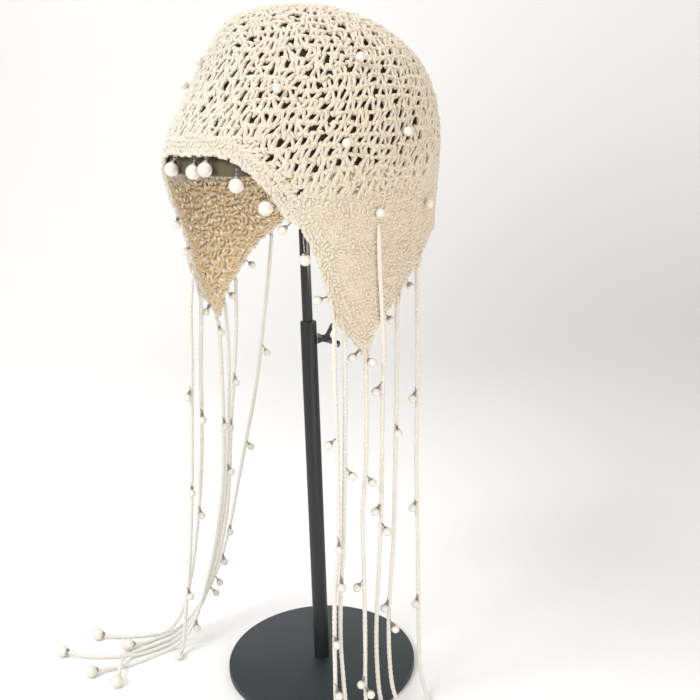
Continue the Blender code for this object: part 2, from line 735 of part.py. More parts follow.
def build_wing_screw():
    """The clamping screw in the tube's side: a tapered hub with one wing up and one to the side."""
    start = TUBE_RADIUS + SEAT_GAP
    end = start + SCREW_HUB_LENGTH
    profile = (
        (0, end),
        (SCREW_HUB_RADIUS * 0.55, end),
        (SCREW_HUB_RADIUS * 0.80, end - SCREW_HUB_LENGTH * 0.30),
        (SCREW_HUB_RADIUS * 0.62, end - SCREW_HUB_LENGTH * 0.60),
        (SCREW_HUB_RADIUS, start),
        (0, start),
    )
    screw = turned("wing_screw", profile, 12, BLACK_PAINT)
    # The hub's own Z becomes the direction out of the tube.
    outwards = Matrix.Rotation(SCREW_AZIMUTH, 4, "Z") @ Matrix.Rotation(math.pi / 2, 4, "Y")
    height = TUBE_TOP - SCREW_DROP
    screw.matrix_world = Matrix.Translation((0, 0, height)) @ outwards
    root = start + SCREW_HUB_LENGTH * 0.62
    for label, lean, roll in (("upper", 28, 180), ("side", 62, -38)):
        arm = (
            screw.matrix_world
            @ Matrix.Translation((0, 0, root))
            @ Matrix.Rotation(math.radians(roll), 4, "Z")
            @ Matrix.Rotation(math.radians(90 - lean), 4, "Y")
            @ Matrix.Translation((0, 0, WING_LENGTH / 2))
        )
        wing = solid_box(f"wing_{label}", (WING_THICKNESS, WING_WIDTH, WING_LENGTH), arm)
        join = screw.modifiers.new(label, "BOOLEAN")
        join.operation = "UNION"
        join.solver = "EXACT"
        join.object = wing


def build():
    global parts, cutters
    clear_scene()
    parts = new_collection("crocheted_hat_on_stand")
    cutters = new_collection("cutters")
    build_stand()
    build_crown()
    build_flap("ear_flap_left", 1)
    build_flap("ear_flap_right", -1)
    build_sewn_pearls()
    build_edge_pearls()
    build_cords()


build()
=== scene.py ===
# The looks of a crocheted cap with ear flaps, pearls and long cords, on its stand.
# Units are metres and +Z is up. The wearer faces -Y, so the wearer's left is +X.
import math
import bpy
import numpy as np
from mathutils import Matrix, Vector


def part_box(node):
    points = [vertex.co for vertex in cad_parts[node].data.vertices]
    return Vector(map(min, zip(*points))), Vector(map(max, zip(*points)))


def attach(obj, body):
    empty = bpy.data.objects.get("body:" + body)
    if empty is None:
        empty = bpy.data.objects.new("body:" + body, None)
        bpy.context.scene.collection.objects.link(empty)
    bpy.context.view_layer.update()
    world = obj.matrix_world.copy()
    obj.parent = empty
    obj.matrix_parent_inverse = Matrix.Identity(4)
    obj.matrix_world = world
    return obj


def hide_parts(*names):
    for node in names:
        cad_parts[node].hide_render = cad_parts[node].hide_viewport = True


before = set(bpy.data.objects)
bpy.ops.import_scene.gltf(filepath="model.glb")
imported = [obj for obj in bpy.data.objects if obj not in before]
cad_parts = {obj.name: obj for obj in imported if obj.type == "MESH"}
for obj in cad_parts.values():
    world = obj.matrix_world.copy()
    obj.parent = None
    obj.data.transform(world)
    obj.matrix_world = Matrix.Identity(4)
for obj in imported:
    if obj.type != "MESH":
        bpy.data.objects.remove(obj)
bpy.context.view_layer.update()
BODY = "root"
rng = np.random.default_rng(7)

# Camera: its place, its heading round +Z, and how it is tilted
CAMERA_PLACE = (0.4900, -0.4159, 0.4388)
CAMERA_AZIMUTH = math.radians(47)
CAMERA_PITCH = math.radians(15.36)
CAMERA_ROLL = math.radians(1.64)
CAMERA_LENS = 46.29

# The hat's form, the same as its solids'
crown_low, crown_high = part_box("crown")
HAT_TOP = crown_high.z
HAT_WIDTH = 0.188
HAT_LENGTH = 0.196
HAT_RADIUS = (HAT_WIDTH + HAT_LENGTH) / 4
RIM_DEPTH = 0.103
FRONT_DEPTH = 0.094
FLAP_DEPTH = 0.225
FLAP_TAPER = 0.079
TAPER_DEPTH = 0.100
CROWN_LEAN = 0.0115
SPLIT_HEIGHT = crown_low.z
# Step of the lines measured down the hat and along its edge, and the radius taken for angles there
LINE_STEP = 0.0005
EDGE_RADIUS = 0.095

# Level sections of the hat from its widest one up: height, size and backward shift, as shares
# of RIM_DEPTH, of the hat's width and length, and of CROWN_LEAN
SECTIONS = np.array((
    (0.00, 1.000, 0.00), (0.12, 0.994, 0.22), (0.23, 0.972, 0.43), (0.39, 0.917, 0.83),
    (0.52, 0.856, 1.00), (0.65, 0.779, 1.00), (0.77, 0.674, 0.74), (0.87, 0.550, 0.30),
    (0.94, 0.410, -0.17), (0.98, 0.250, -0.17), (1.00, 0.000, -0.17),
))
# The lower edge round one side: degrees from the front, and its drop below the front edge as a share
# of FLAP_DEPTH - FRONT_DEPTH
EDGE = np.array((
    (0, 0.000), (16, 0.000), (22, 0.012), (28, 0.053), (33, 0.100), (38, 0.176),
    (43, 0.279), (48, 0.324), (51, 0.382), (54, 0.458), (57, 0.573), (60, 0.725),
    (64, 0.832), (70, 0.920), (75.5, 1.000), (81, 0.878), (86, 0.802), (93, 0.733),
    (100, 0.634), (108, 0.557), (116, 0.496), (121, 0.450), (180, 0.450),
))

# Crochet: width and height of a cell of openwork, and spacing of the close stitches along and across
# their rows, outside, inside, and for the bright ones inside, which carry a painted highlight
CELL = 0.0125
OPEN_ROW = 0.0072
OUTER_PITCH = 0.0026
OUTER_ROW = 0.0023
INNER_PITCH = 0.0042
INNER_ROW = 0.0037
BRIGHT_PITCH = 0.0086
BRIGHT_ROW = 0.0072
# Height where the close work starts, how far the change to it reaches, and the distance from the
# hat's top where the openwork ends
DENSE_TOP = 0.385
CHANGE_REACH = 0.011
OPENWORK_END = 0.020
# The edge's own rows: the rope's inset, the rows' spacing and number, and the scallops' length
EDGE_INSET = 0.0022
EDGE_ROW = 0.0029
EDGE_ROWS = 3
SCALLOP = 0.0092
BORDER = EDGE_INSET + EDGE_ROW * EDGE_ROWS
# Share of the openwork's cross stitches that are left out
DROPPED_SHARE = 0.06
# How far the stitches' tones vary
TONE_SPREAD = 0.18
# Places across of the legs in a cell of openwork, at their tops, middles and feet
LEGS = ((-0.0006, -0.0020, -0.0036), (0.0001, 0.0012, 0.0021), (0.0056, 0.0045, 0.0032))
# A leg's two plies: least and greatest radius, and how far each lies from the leg's middle
PLY_RADII = (0.00094, 0.00118)
PLY_OFFSET = 0.00072
# Sides of a strand, and its yarn's turns in a millimetre
STRAND_SIDES = 5
YARN_TWIST = 0.30
# Depths of the thin sheet behind the close work: its outer and inner face
SHEET_DEPTHS = (0.0010, 0.0019)

# Radii of the pearls and of their wire
SMALL_PEARL = 0.0030
LARGE_PEARL = 0.0047
CORNER_PEARL = 0.0038
WIRE = 0.00045

CORD_RADIUS = 0.0015
CORD_SIDES = 10
CHAIN_PITCH = 0.0041
ROUTE_STEP = 0.001
CORD_STEP = 0.0007
# The cord that is sewn down on its flap, and the height down to which it is creamier there
SEWN_CORD = "left_4"
SEWN_TO = 0.270

# Cords: name, small pearls on it as height and sideways place, and its route, all in millimetres
CORDS = (
    ("right_1", ((224, -2.7), (145, 0.9), (55, 3.4)), (
        (-73.8, -48.3, 319.9), (-76.8, -50.5, 290), (-78, -52, 255), (-80, -55, 204), (-82, -58, 154),
        (-83, -62, 111), (-85.5, -65, 76), (-87.5, -69, 47), (-89.5, -71, 27), (-90.6, -72.4, 14),
        (-90.2, -74, 6.2), (-88.2, -77.3, 3.7),
    )),
    ("right_2", ((204, 1.6), (121, 3.4)), (
        (-75.8, -41.2, 301.6), (-76.5, -42, 280), (-78, -44, 250), (-80, -46, 201), (-83, -48, 159),
        (-89.5, -52, 108), (-96, -55.5, 70), (-104, -58.5, 40), (-112.5, -61.5, 20), (-121, -66, 7),
        (-128, -73.5, 1.9), (-135.5, -85, 1.6), (-145.5, -97, 1.6), (-153, -105.2, 2.6),
        (-157.4, -110, 4.4),
    )),
    ("right_3", ((192, 1.7), (270, 2.1), (18, 4.5)), (
        (-80.5, -23.6, 277.7), (-79.5, -24, 254), (-80.5, -25, 196), (-82, -27.5, 152), (-85, -33, 108),
        (-88.5, -42, 70), (-92, -52, 38), (-95, -61, 18), (-98.5, -71.5, 6), (-102.5, -83, 1.8),
        (-104, -98, 1.6), (-106.5, -113, 1.6), (-111, -126, 2), (-115.8, -138.8, 4.5),
    )),
    ("right_4", ((150, 4),), (
        (-83.5, -14, 290), (-83, -14, 251), (-84, -18, 193), (-85, -22, 150), (-88.5, -28, 105),
        (-93, -37, 68), (-97.5, -47, 37), (-100.5, -56, 19), (-104.5, -68, 6), (-108.5, -79, 1.8),
        (-111, -92, 1.6), (-114, -104, 2), (-115.5, -112, 4.2), (-111.5, -118.8, 6), (-104, -124.5, 6),
        (-93.9, -132.3, 5.6),
    )),
    ("right_5", ((186, 0), (224, 2.3)), (
        (-85.7, -0.5, 306.9), (-86.5, -3, 265), (-87, -8, 224), (-88, -12.5, 190), (-89, -16.5, 147),
        (-92, -22, 102), (-96.5, -31, 66), (-101, -41, 38), (-105, -51, 20), (-110, -63, 7),
        (-115, -74, 1.8), (-116.5, -86, 1.6), (-118.5, -98, 1.6), (-122.5, -113, 1.6),
        (-134, -127, 1.6), (-147, -138, 2.4), (-155.7, -143.8, 4.5),
    )),
    ("right_6", ((242, 5.6), (163, 5.1), (91, 1.6), (64, 4.2), (44, 7), (35, 8.3)), (
        (-81.6, 34.7, 338.5), (-85, 31, 301), (-86.5, 24, 260), (-88, 14, 210), (-90.5, 3, 168),
        (-93.5, -8, 125), (-96.5, -17, 89), (-101, -27, 58), (-106, -36, 37), (-111, -46, 20),
        (-116.5, -57, 7.5), (-121.5, -67, 1.9), (-123.5, -78, 1.6), (-124.5, -88, 2),
        (-126.8, -98.7, 4.4),
    )),
    ("left_1", ((221, -5.8), (147, 0.4), (74, 1.7), (34, 2.6)), (
        (75.5, -42.2, 303.3), (75.2, -43, 282), (75, -43, 245), (75, -43, 208), (74, -43, 174),
        (74, -44, 147), (72.2, -47, 113), (71.5, -48.5, 73), (71.8, -49.5, 41), (73, -51.5, 18),
        (75.5, -57, 6), (79, -67, 1.7), (81, -79, 1.6), (82.5, -92, 2.2), (84.1, -101.2, 3.6),
    )),
    ("left_2", ((117, 0.4), (197, 5.3)), (
        (77.6, -35.6, 293.1), (76.8, -36.2, 250), (75.5, -37, 208), (74.2, -38, 172), (73.5, -39, 145),
        (72.2, -41.5, 111), (71.8, -43, 70), (73.5, -43, 38), (76.5, -44.5, 17), (82, -52, 5.5),
        (88, -64, 1.7), (93, -80, 1.6), (99, -97, 1.6), (106, -113, 2.4), (109.8, -124.1, 4.5),
    )),
    ("left_3", ((189, 5.1), (110, -5.1), (275, 4.3), (34, -3), (26, 3.8)), (
        (81.3, -20.6, 277.3), (81, -21.2, 241), (80, -22, 199), (78.5, -24.5, 168), (78.5, -25, 130),
        (78.5, -25, 96), (78.2, -25.5, 54), (78.5, -26.5, 34), (81, -28.5, 16), (88, -34, 5.5),
        (98, -45, 1.7), (106, -60, 1.6), (113, -76, 1.6), (124, -92, 1.8), (135.7, -108.8, 4.5),
    )),
    ("left_4", ((253, -4.8), (165, -4.4), (150, 4.5)), (
        (92, -17.1, 365), (90.4, -15.3, 340), (88.6, -12.2, 310), (86.8, -9.5, 280), (84, -8.5, 250),
        (82.2, -9, 192), (81.5, -10.5, 149), (79.8, -13, 102), (78.5, -14, 70), (79, -14.5, 42),
        (81.5, -15, 19), (89, -18, 6), (101, -26, 1.7), (112, -39, 1.6), (123, -53, 1.6), (137, -68, 2),
        (148.4, -81, 4.5),
    )),
    ("left_5", ((220, 1.6), (86, -3.9), (68, 4.8)), (
        (86, 4.5, 311.2), (85, 4.8, 277), (84, 4, 228), (83, 3, 183), (82, 1.5, 136), (80.5, -0.5, 105),
        (79.8, -2.5, 72), (80.5, -3, 42), (83.5, -3, 18), (91, -4, 6), (104, -10, 1.7), (117, -21, 1.6),
        (131, -32, 1.6), (146, -43, 2), (159.9, -55.5, 4.5),
    )),
    ("left_6", ((240, -3.7), (157, -3.6), (80, -2.4)), (
        (83.8, 26.8, 332.9), (84.3, 26.2, 294), (84, 26, 251), (83.2, 25, 192), (83.8, 25, 137),
        (84, 25, 86), (84.2, 25, 46), (86, 25, 19), (92, 23.5, 6), (102, 18, 1.8), (116, 8, 1.6),
        (131, -2, 1.6), (145, -12, 2), (158.5, -21, 4.5),
    )),
)

# Directions in the picture, seen from above: to its right, and towards the camera
PICTURE_RIGHT = np.array((0.682, 0.7314, 0.0))
TO_CAMERA = np.array((0.7314, -0.682, 0.0))


def photo_point(right, forward, up):
    """A point by its place in the picture: right of, in front of and above the disc's middle."""
    return tuple(PICTURE_RIGHT * right + TO_CAMERA * forward + np.array((0, 0, up)))


# Materials
class Nodes:
    """A material's node tree, with short calls to add and join its nodes."""

    def __init__(self, name):
        self.material = bpy.data.materials.new(name)
        self.material.use_nodes = True
        self.tree = self.material.node_tree
        self.tree.nodes.clear()

    def add(self, kind, inputs=(), **settings):
        node = self.tree.nodes.new("ShaderNode" + kind)
        for key, value in settings.items():
            setattr(node, key, value)
        for key, value in dict(inputs).items():
            if isinstance(value, bpy.types.NodeSocket):
                self.tree.links.new(value, node.inputs[key])
            else:
                node.inputs[key].default_value = value
        return node.outputs

    def math(self, operation, *values):
        return self.add("Math", dict(enumerate(values)), operation=operation)[0]

    def mix(self, factor, first, second):
        return self.add("Mix", {0: factor, 6: first, 7: second}, data_type="RGBA")[2]

    def noise(self, vector, scale, detail=3.0):
        return self.add("TexNoise", {"Vector": vector, "Scale": scale, "Detail": detail})[0]

    def finish(self, **inputs):
        settings = {key.replace("_", " "): value for key, value in inputs.items()}
        shader = self.add("BsdfPrincipled", settings)[0]
        self.add("OutputMaterial", {"Surface": shader})
        return self.material


# Painted shade: the warm tans that the yarn takes on the hat's shaded inner face
SHADE_TAN = (0.84, 0.645, 0.39, 1)
PALE_SHADE_TAN = (0.91, 0.725, 0.47, 1)
# Painted highlight: the bright cream of stitches lit on the hat's shaded inner face
HIGHLIGHT_CREAM = (1.0, 0.93, 0.77, 1)
# Painted light: the whiter colour that the yarn takes on the picture's lit left side
LIT_SIDE_WHITE = (0.78, 0.81, 0.76, 1)
# Painted shadow: the grey of the soft shadows painted on the backdrop
SHADOW_GREY = (0.35, 0.35, 0.35, 1)


def yarn_material(name, light, dark):
    """Plied yarn with fuzz and a tone for each stitch, and painted light that makes it whiter on the
    picture's left.

    It takes a painted warm shade of tan where a strand's inside is 1, and a painted highlight of bright
    cream where it is -1.
    """
    n = Nodes(name)
    uv = n.add("UVMap", uv_map="yarn")[0]
    place = n.add("TexCoord")[3]
    parts = n.add("SeparateXYZ", {0: uv})
    turns = n.math("ADD", n.math("MULTIPLY", parts[0], 2.0), parts[1])
    wave = n.math("SINE", n.math("MULTIPLY", turns, 2 * math.pi))
    ply = n.math("MULTIPLY_ADD", wave, 0.5, 0.5)
    fibres = n.noise(place, 2600.0, 4.0)
    patches = n.noise(place, 60.0)
    tone = n.add("Attribute", attribute_name="tone")[2]
    inside = n.add("Attribute", attribute_name="inside")[2]
    shade = n.math("MULTIPLY_ADD", tone, 0.55, n.math("MULTIPLY", patches, 0.45))
    plain = n.mix(shade, dark, light)
    # Painted light: towards the picture's left, where the key light falls, the yarn is mixed towards white
    across = n.add("VectorMath", {0: place, 1: tuple(PICTURE_RIGHT)}, operation="DOT_PRODUCT")[1]
    settings = {"Value": across, "From Min": -0.08, "From Max": 0.03, "To Min": 0.34, "To Max": 0.0}
    plain = n.mix(n.add("MapRange", settings)[0], plain, LIT_SIDE_WHITE)
    # Painted shade: strands on the inner face are mixed towards a warm tan by their inside value
    plain = n.mix(inside, plain, n.mix(shade, SHADE_TAN, PALE_SHADE_TAN))
    # Painted highlight: strands whose inside is -1 are mixed towards bright cream
    plain = n.mix(n.math("MULTIPLY", inside, -1.0), plain, HIGHLIGHT_CREAM)
    # Painted shade: the yarn is darkened and warmed in the grooves between its plies
    crease_shade = (dark[0] * 0.62, dark[1] * 0.56, dark[2] * 0.46, 1)
    crease_shaded = n.mix(n.math("MULTIPLY_ADD", ply, -0.22, 0.22), plain, crease_shade)
    colour = n.mix(n.math("MULTIPLY", fibres, 0.12), crease_shaded, (1, 0.98, 0.93, 1))
    relief = n.math("ADD", n.math("MULTIPLY", ply, 0.6), n.math("MULTIPLY", fibres, 0.4))
    bump = n.add("Bump", {"Strength": 0.55, "Distance": 0.0004, "Height": relief})[0]
    return n.finish(
        Base_Color=colour,
        Roughness=n.math("MULTIPLY_ADD", fibres, 0.12, 0.80),
        Normal=bump,
        Sheen_Weight=0.25,
        Sheen_Roughness=0.5,
    )


def pearl_material():
    """Glossy imitation pearl: nearly white, warmer in patches, with faint pits and a painted shade towards
    its outline.
    """
    n = Nodes("pearl_coating")
    place = n.add("TexCoord")[3]
    patches = n.noise(place, 140.0)
    pits = n.noise(place, 1500.0)
    # Painted shade: the pearl turns darker and browner towards its outline as seen from the camera
    edge = n.add("LayerWeight", {"Blend": 0.35})[1]
    colour = n.mix(patches, (0.78, 0.745, 0.67, 1), (0.86, 0.835, 0.775, 1))
    colour = n.mix(n.math("MULTIPLY", edge, 0.5), colour, (0.58, 0.51, 0.41, 1))
    bump = n.add("Bump", {"Strength": 0.06, "Distance": 0.0002, "Height": pits})[0]
    return n.finish(
        Base_Color=colour,
        Roughness=n.math("MULTIPLY_ADD", patches, 0.10, 0.16),
        Normal=bump,
        Coat_Weight=0.5,
        Coat_Roughness=0.10,
    )


def metal_material():
    """Dark, slightly worn gunmetal wire and caps."""
    n = Nodes("gunmetal")
    place = n.add("TexCoord")[3]
    patches = n.noise(place, 700.0)
    colour = n.mix(patches, (0.22, 0.205, 0.18, 1), (0.54, 0.51, 0.46, 1))
    bump = n.add("Bump", {"Strength": 0.15, "Distance": 0.0001, "Height": patches})[0]
    rough = n.math("MULTIPLY_ADD", patches, 0.2, 0.28)
    return n.finish(Base_Color=colour, Metallic=1.0, Roughness=rough, Normal=bump)


def paint_material(name, first, second, rough):
    """Satin paint with fine orange peel and faint rubbed patches."""
    n = Nodes(name)
    place = n.add("TexCoord")[3]
    grain = n.noise(place, 900.0)
    patches = n.noise(place, 25.0)
    colour = n.mix(patches, first, second)
    bump = n.add("Bump", {"Strength": 0.08, "Distance": 0.0003, "Height": grain})[0]
    return n.finish(
        Base_Color=colour,
        Roughness=n.math("MULTIPLY_ADD", patches, 0.14, rough),
        Normal=bump,
        Specular_IOR_Level=0.5,
    )


def backdrop_material():
    """The pale floor and the sweep behind it, with two soft painted shadows in grey."""
    n = Nodes("backdrop_paper")
    place = n.add("TexCoord")[3]
    grain = n.noise(place, 300.0)
    colour = n.mix(grain, (0.965, 0.965, 0.96, 1), (0.98, 0.98, 0.975, 1))
    # Each painted shadow: its middle, its inner and outer reach, and its strength
    patches = (
        (photo_point(0.60, -0.90, 0.05), 0.10, 1.20, 0.44),
        (photo_point(0.29, -0.08, 0.0), 0.02, 0.27, 0.26),
    )
    for middle, near, far, strength in patches:
        away = n.add("VectorMath", {0: place, 1: middle}, operation="DISTANCE")[1]
        settings = {"Value": away, "From Min": near, "From Max": far, "To Min": strength, "To Max": 0.0}
        shade = n.add("MapRange", settings, interpolation_type="SMOOTHSTEP")[0]
        colour = n.mix(shade, colour, SHADOW_GREY)
    return n.finish(Base_Color=colour, Roughness=0.75)


CREAM = yarn_material("cream_yarn", (0.84, 0.77, 0.65, 1), (0.72, 0.62, 0.48, 1))
CORD_YARN = yarn_material("cream_yarn_cord", (0.90, 0.885, 0.84, 1), (0.74, 0.72, 0.66, 1))
PEARL = pearl_material()
METAL = metal_material()
PAINT = paint_material("black_paint", (0.010, 0.012, 0.013, 1), (0.018, 0.02, 0.022, 1), 0.34)
DISC_PAINT = paint_material("black_paint_disc", (0.014, 0.021, 0.025, 1), (0.022, 0.03, 0.035, 1), 0.4)
# Painted light: the dome's black paint is made a lighter warm brown, for the warm light bounced inside the
# crown
DOME_PAINT_WARM_LIGHT = paint_material("black_paint_dome", (0.08, 0.062, 0.03, 1), (0.13, 0.104, 0.056, 1), 0.6)


# Meshes
class Shape:
    """Collects one piece's vertices, faces and yarn coordinates, and each stitch's tone and inside."""

    def __init__(self):
        self.points = []
        self.loops = []
        self.counts = []
        self.uvs = []
        self.tones = []
        self.insides = []
        self.total = 0

    def add(self, points, faces, uvs=None, tone=0.5, inside=0.0):
        count = len(points)
        self.points.append(points)
        self.tones.append(np.broadcast_to(tone, (count,)))
        self.insides.append(np.broadcast_to(inside, (count,)))
        for number, some in enumerate(faces):
            self.loops.append((some + self.total).ravel())
            self.counts.append(np.full(len(some), some.shape[1]))
            if uvs is None or uvs[number] is None:
                self.uvs.append(np.zeros((some.size, 2)))
            else:
                self.uvs.append(np.broadcast_to(uvs[number], (*some.shape, 2)).reshape(-1, 2))
        self.total += count

    def build(self, name, material, slot, nodes=()):
        mesh = bpy.data.meshes.new(name)
        points = np.concatenate(self.points)
        loops = np.concatenate(self.loops)
        counts = np.concatenate(self.counts)
        mesh.vertices.add(len(points))
        mesh.vertices.foreach_set("co", points.astype(np.float32).ravel())
        mesh.loops.add(len(loops))
        mesh.loops.foreach_set("vertex_index", loops.astype(np.int32))
        mesh.polygons.add(len(counts))
        starts = np.concatenate(([0], np.cumsum(counts)[:-1]))
        mesh.polygons.foreach_set("loop_start", starts.astype(np.int32))
        mesh.polygons.foreach_set("use_smooth", np.full(len(counts), True))
        layer = mesh.uv_layers.new(name="yarn")
        layer.data.foreach_set("uv", np.concatenate(self.uvs).astype(np.float32).ravel())
        for title, values in (("tone", self.tones), ("inside", self.insides)):
            attribute = mesh.attributes.new(title, "FLOAT", "POINT")
            attribute.data.foreach_set("value", np.concatenate(values).astype(np.float32))
        mesh.update(calc_edges=True)
        mesh.validate()
        mesh.materials.append(material)
        piece = bpy.data.objects.new(name, mesh)
        bpy.context.scene.collection.objects.link(piece)
        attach(piece, BODY)
        if nodes:
            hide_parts(*nodes)
        return piece


def unit(vectors):
    return vectors / np.maximum(np.linalg.norm(vectors, axis=-1, keepdims=True), 1e-12)


def wrapped(angle):
    """The angle between -pi and pi."""
    return (np.asarray(angle) + np.pi) % (2 * np.pi) - np.pi


def distances(points):
    """How far along a run of points each one is."""
    return np.concatenate(([0], np.cumsum(np.linalg.norm(np.diff(points, axis=0), axis=1))))


def ring_walls(index):
    """Quads between neighbouring rings of vertices."""
    low = index[..., :-1, :]
    high = index[..., 1:, :]
    return np.stack((low, np.roll(low, -1, -1), np.roll(high, -1, -1), high), -1).reshape(-1, 4)


def add_strands(shape, centres, normals, widths, depths, tone=0.5, inside=0.0):
    """Adds strands with closed ends. centres and normals are (strand, ring, 3)."""
    count, rings, _ = centres.shape
    sides = STRAND_SIDES
    along = unit(np.gradient(centres, axis=1))
    across = unit(np.cross(normals, along))
    outwards = np.cross(along, across)
    turn = 2 * np.pi * np.arange(sides) / sides
    widths = np.broadcast_to(widths, (count, rings))[..., None, None]
    depths = np.broadcast_to(depths, (count, rings))[..., None, None]
    points = centres[:, :, None] + across[:, :, None] * np.cos(turn)[:, None] * widths
    points = points + outwards[:, :, None] * np.sin(turn)[:, None] * depths
    index = np.arange(count * rings * sides).reshape(count, rings, sides)
    steps = np.linalg.norm(np.diff(centres, axis=1), axis=-1)
    reach = np.concatenate((np.zeros((count, 1)), np.cumsum(steps, 1)), 1) * 1000 * YARN_TWIST
    reach = reach + rng.random((count, 1))
    u = np.arange(sides) / sides
    around = np.stack((u, u + 1 / sides, u + 1 / sides, u), -1)
    lengths = np.stack((reach[:, :-1], reach[:, :-1], reach[:, 1:], reach[:, 1:]), -1)
    whole = (count, rings - 1, sides, 4)
    uvs = np.stack((np.broadcast_to(around, whole), np.broadcast_to(lengths[:, :, None], whole)), -1)
    ends = np.concatenate((index[:, 0, ::-1], index[:, -1]))
    tones = np.repeat(np.broadcast_to(tone, (count,)), rings * sides)
    insides = np.repeat(np.broadcast_to(inside, (count,)), rings * sides)
    uvs = (uvs.reshape(-1, 4, 2), None)
    shape.add(points.reshape(-1, 3), (ring_walls(index), ends), uvs, tones, insides)


def add_turned(shape, profile, sides, place, axis=(0, 0, 1)):
    """Adds a lathed form: profile is (radius, height) upwards, with radius 0 at both ends."""
    z = unit(np.array(axis, float))
    x = unit(np.cross(z, (0.31, 0.95, 0.12)))
    y = np.cross(z, x)
    turn = 2 * np.pi * np.arange(sides) / sides
    spokes = x * np.cos(turn)[:, None] + y * np.sin(turn)[:, None]
    profile = np.array(profile, float)
    rings = profile[1:-1]
    points = (spokes * rings[:, 0, None, None] + z * rings[:, 1, None, None]).reshape(-1, 3)
    poles = z * profile[[0, -1], 1][:, None]
    index = np.arange(len(points)).reshape(len(rings), sides)
    first = np.full(sides, len(points))
    bottom = np.stack((np.roll(index[0], -1), index[0], first), -1)
    top = np.stack((index[-1], np.roll(index[-1], -1), first + 1), -1)
    faces = (ring_walls(index), np.concatenate((bottom, top)))
    shape.add(np.concatenate((points, poles)) + np.array(place), faces)


def ball_profile(radius):
    turn = np.linspace(0, np.pi, 15)
    return np.stack((radius * np.sin(turn), -radius * np.cos(turn)), -1)


# The hat's surface
def hat_line():
    """Size, shift and height of the hat down its side from the top, every LINE_STEP, smoothed."""
    ends = zip(SECTIONS[::-1, 0], SECTIONS[-2::-1, 0])
    shares = np.concatenate((*(np.linspace(a, b, 40, endpoint=False) for a, b in ends), [0.0]))
    sizes = np.interp(shares, SECTIONS[:, 0], SECTIONS[:, 1])
    shifts = np.interp(shares, SECTIONS[:, 0], SECTIONS[:, 2]) * CROWN_LEAN
    heights = HAT_TOP - RIM_DEPTH * (1 - shares)
    below = np.arange(LINE_STEP, FLAP_DEPTH - RIM_DEPTH + 0.02, LINE_STEP)
    sizes = np.concatenate((sizes, 1 - FLAP_TAPER * below / TAPER_DEPTH))
    shifts = np.concatenate((shifts, 0 * below))
    heights = np.concatenate((heights, HAT_TOP - RIM_DEPTH - below))
    radii = sizes * HAT_RADIUS
    line = np.concatenate(([0], np.cumsum(np.hypot(np.diff(radii), np.diff(heights)))))
    even = np.arange(0, line[-1], LINE_STEP)
    reach = 9
    window = np.full(2 * reach + 1, 1 / (2 * reach + 1))
    smooth = []
    for values, mirror in ((sizes, -1), (shifts, 1), (heights, 1)):
        row = np.interp(even, line, values)
        row = np.concatenate((mirror * row[reach:0:-1], row, np.full(reach, row[-1])))
        smooth.append(np.convolve(row, window, "valid"))
    smooth[0][0] = 0
    return even, *smooth


LINE, SIZES, SHIFTS, HEIGHTS = hat_line()


def along_at(height):
    """How far down the line from the top a height is."""
    return np.interp(-height, -HEIGHTS, LINE)


def radius_at(along):
    return np.maximum(np.interp(along, LINE, SIZES), 0.02) * HAT_RADIUS


def surface(angle, along):
    size = np.interp(along, LINE, SIZES)
    shift = np.interp(along, LINE, SHIFTS)
    x = HAT_WIDTH / 2 * size * np.sin(angle)
    y = shift - HAT_LENGTH / 2 * size * np.cos(angle)
    return np.stack(np.broadcast_arrays(x, y, np.interp(along, LINE, HEIGHTS)), -1)


def hat_normal(angle, along):
    step, turn = 0.002, 0.01
    down = surface(angle, along + step) - surface(angle, np.maximum(along - step, LINE_STEP))
    along = np.maximum(along, step)
    return unit(np.cross(down, surface(angle + turn, along) - surface(angle - turn, along)))


def inset_point(angle, along, depth):
    """A point that depth below the hat's outer face, and the outward normal there."""
    normal = hat_normal(angle, along)
    return surface(angle, along) - normal * np.asarray(depth)[..., None], normal


def edge_height(degrees):
    drop = np.interp(np.abs(degrees), EDGE[:, 0], EDGE[:, 1])
    return HAT_TOP - FRONT_DEPTH - drop * (FLAP_DEPTH - FRONT_DEPTH)


def edge_line():
    """The lower edge as angles and distances down, close together and evenly spaced."""
    degrees = np.linspace(-180, 180, 7201)
    heights = edge_height(degrees)
    window = np.full(41, 1 / 41)
    heights = np.convolve(np.concatenate((heights[-21:-1], heights, heights[1:21])), window, "valid")
    line = distances(surface(np.radians(degrees), along_at(heights)))
    even = np.linspace(0, line[-1], int(line[-1] / LINE_STEP))
    return even, np.radians(np.interp(even, line, degrees)), np.interp(even, line, along_at(heights))


EDGE_REACH, EDGE_ANGLES, EDGE_ALONG = edge_line()


def edge_along(angle):
    """How far down the lower edge is at an angle."""
    return np.interp(wrapped(angle), EDGE_ANGLES, EDGE_ALONG)


def edge_distance(angle, along):
    """Distance from the lower edge, less than nothing beyond it."""
    angle = wrapped(angle)
    along = np.asarray(along)
    nearest = np.full(angle.shape, 1.0)
    for start in range(0, len(EDGE_REACH), 64):
        some = slice(start, start + 64, 4)
        across = (angle[..., None] - EDGE_ANGLES[some]) * EDGE_RADIUS
        drop = along[..., None] - EDGE_ALONG[some]
        nearest = np.minimum(nearest, np.sqrt(across**2 + drop**2).min(-1))
    return np.where(along < edge_along(angle), nearest, -nearest)


def wander(angle, along):
    """How far the work strays from even rows, smoothly round the hat: across, and down."""
    across = 0.0009 * np.sin(9 * angle + 210 * along + 1.0)
    across = across + 0.0005 * np.sin(23 * angle - 320 * along + 2.0)
    down = 0.0013 * np.sin(7 * angle - 110 * along + 0.5)
    down = down + 0.0007 * np.sin(19 * angle + 230 * along + 4.0)
    return across, down


# How a strand thins towards its ends, for five and for six rings
TAPER_5 = np.array((0.50, 0.90, 1.00, 0.90, 0.50))
TAPER_6 = np.array((0.70, 0.95, 1.00, 1.00, 0.95, 0.70))


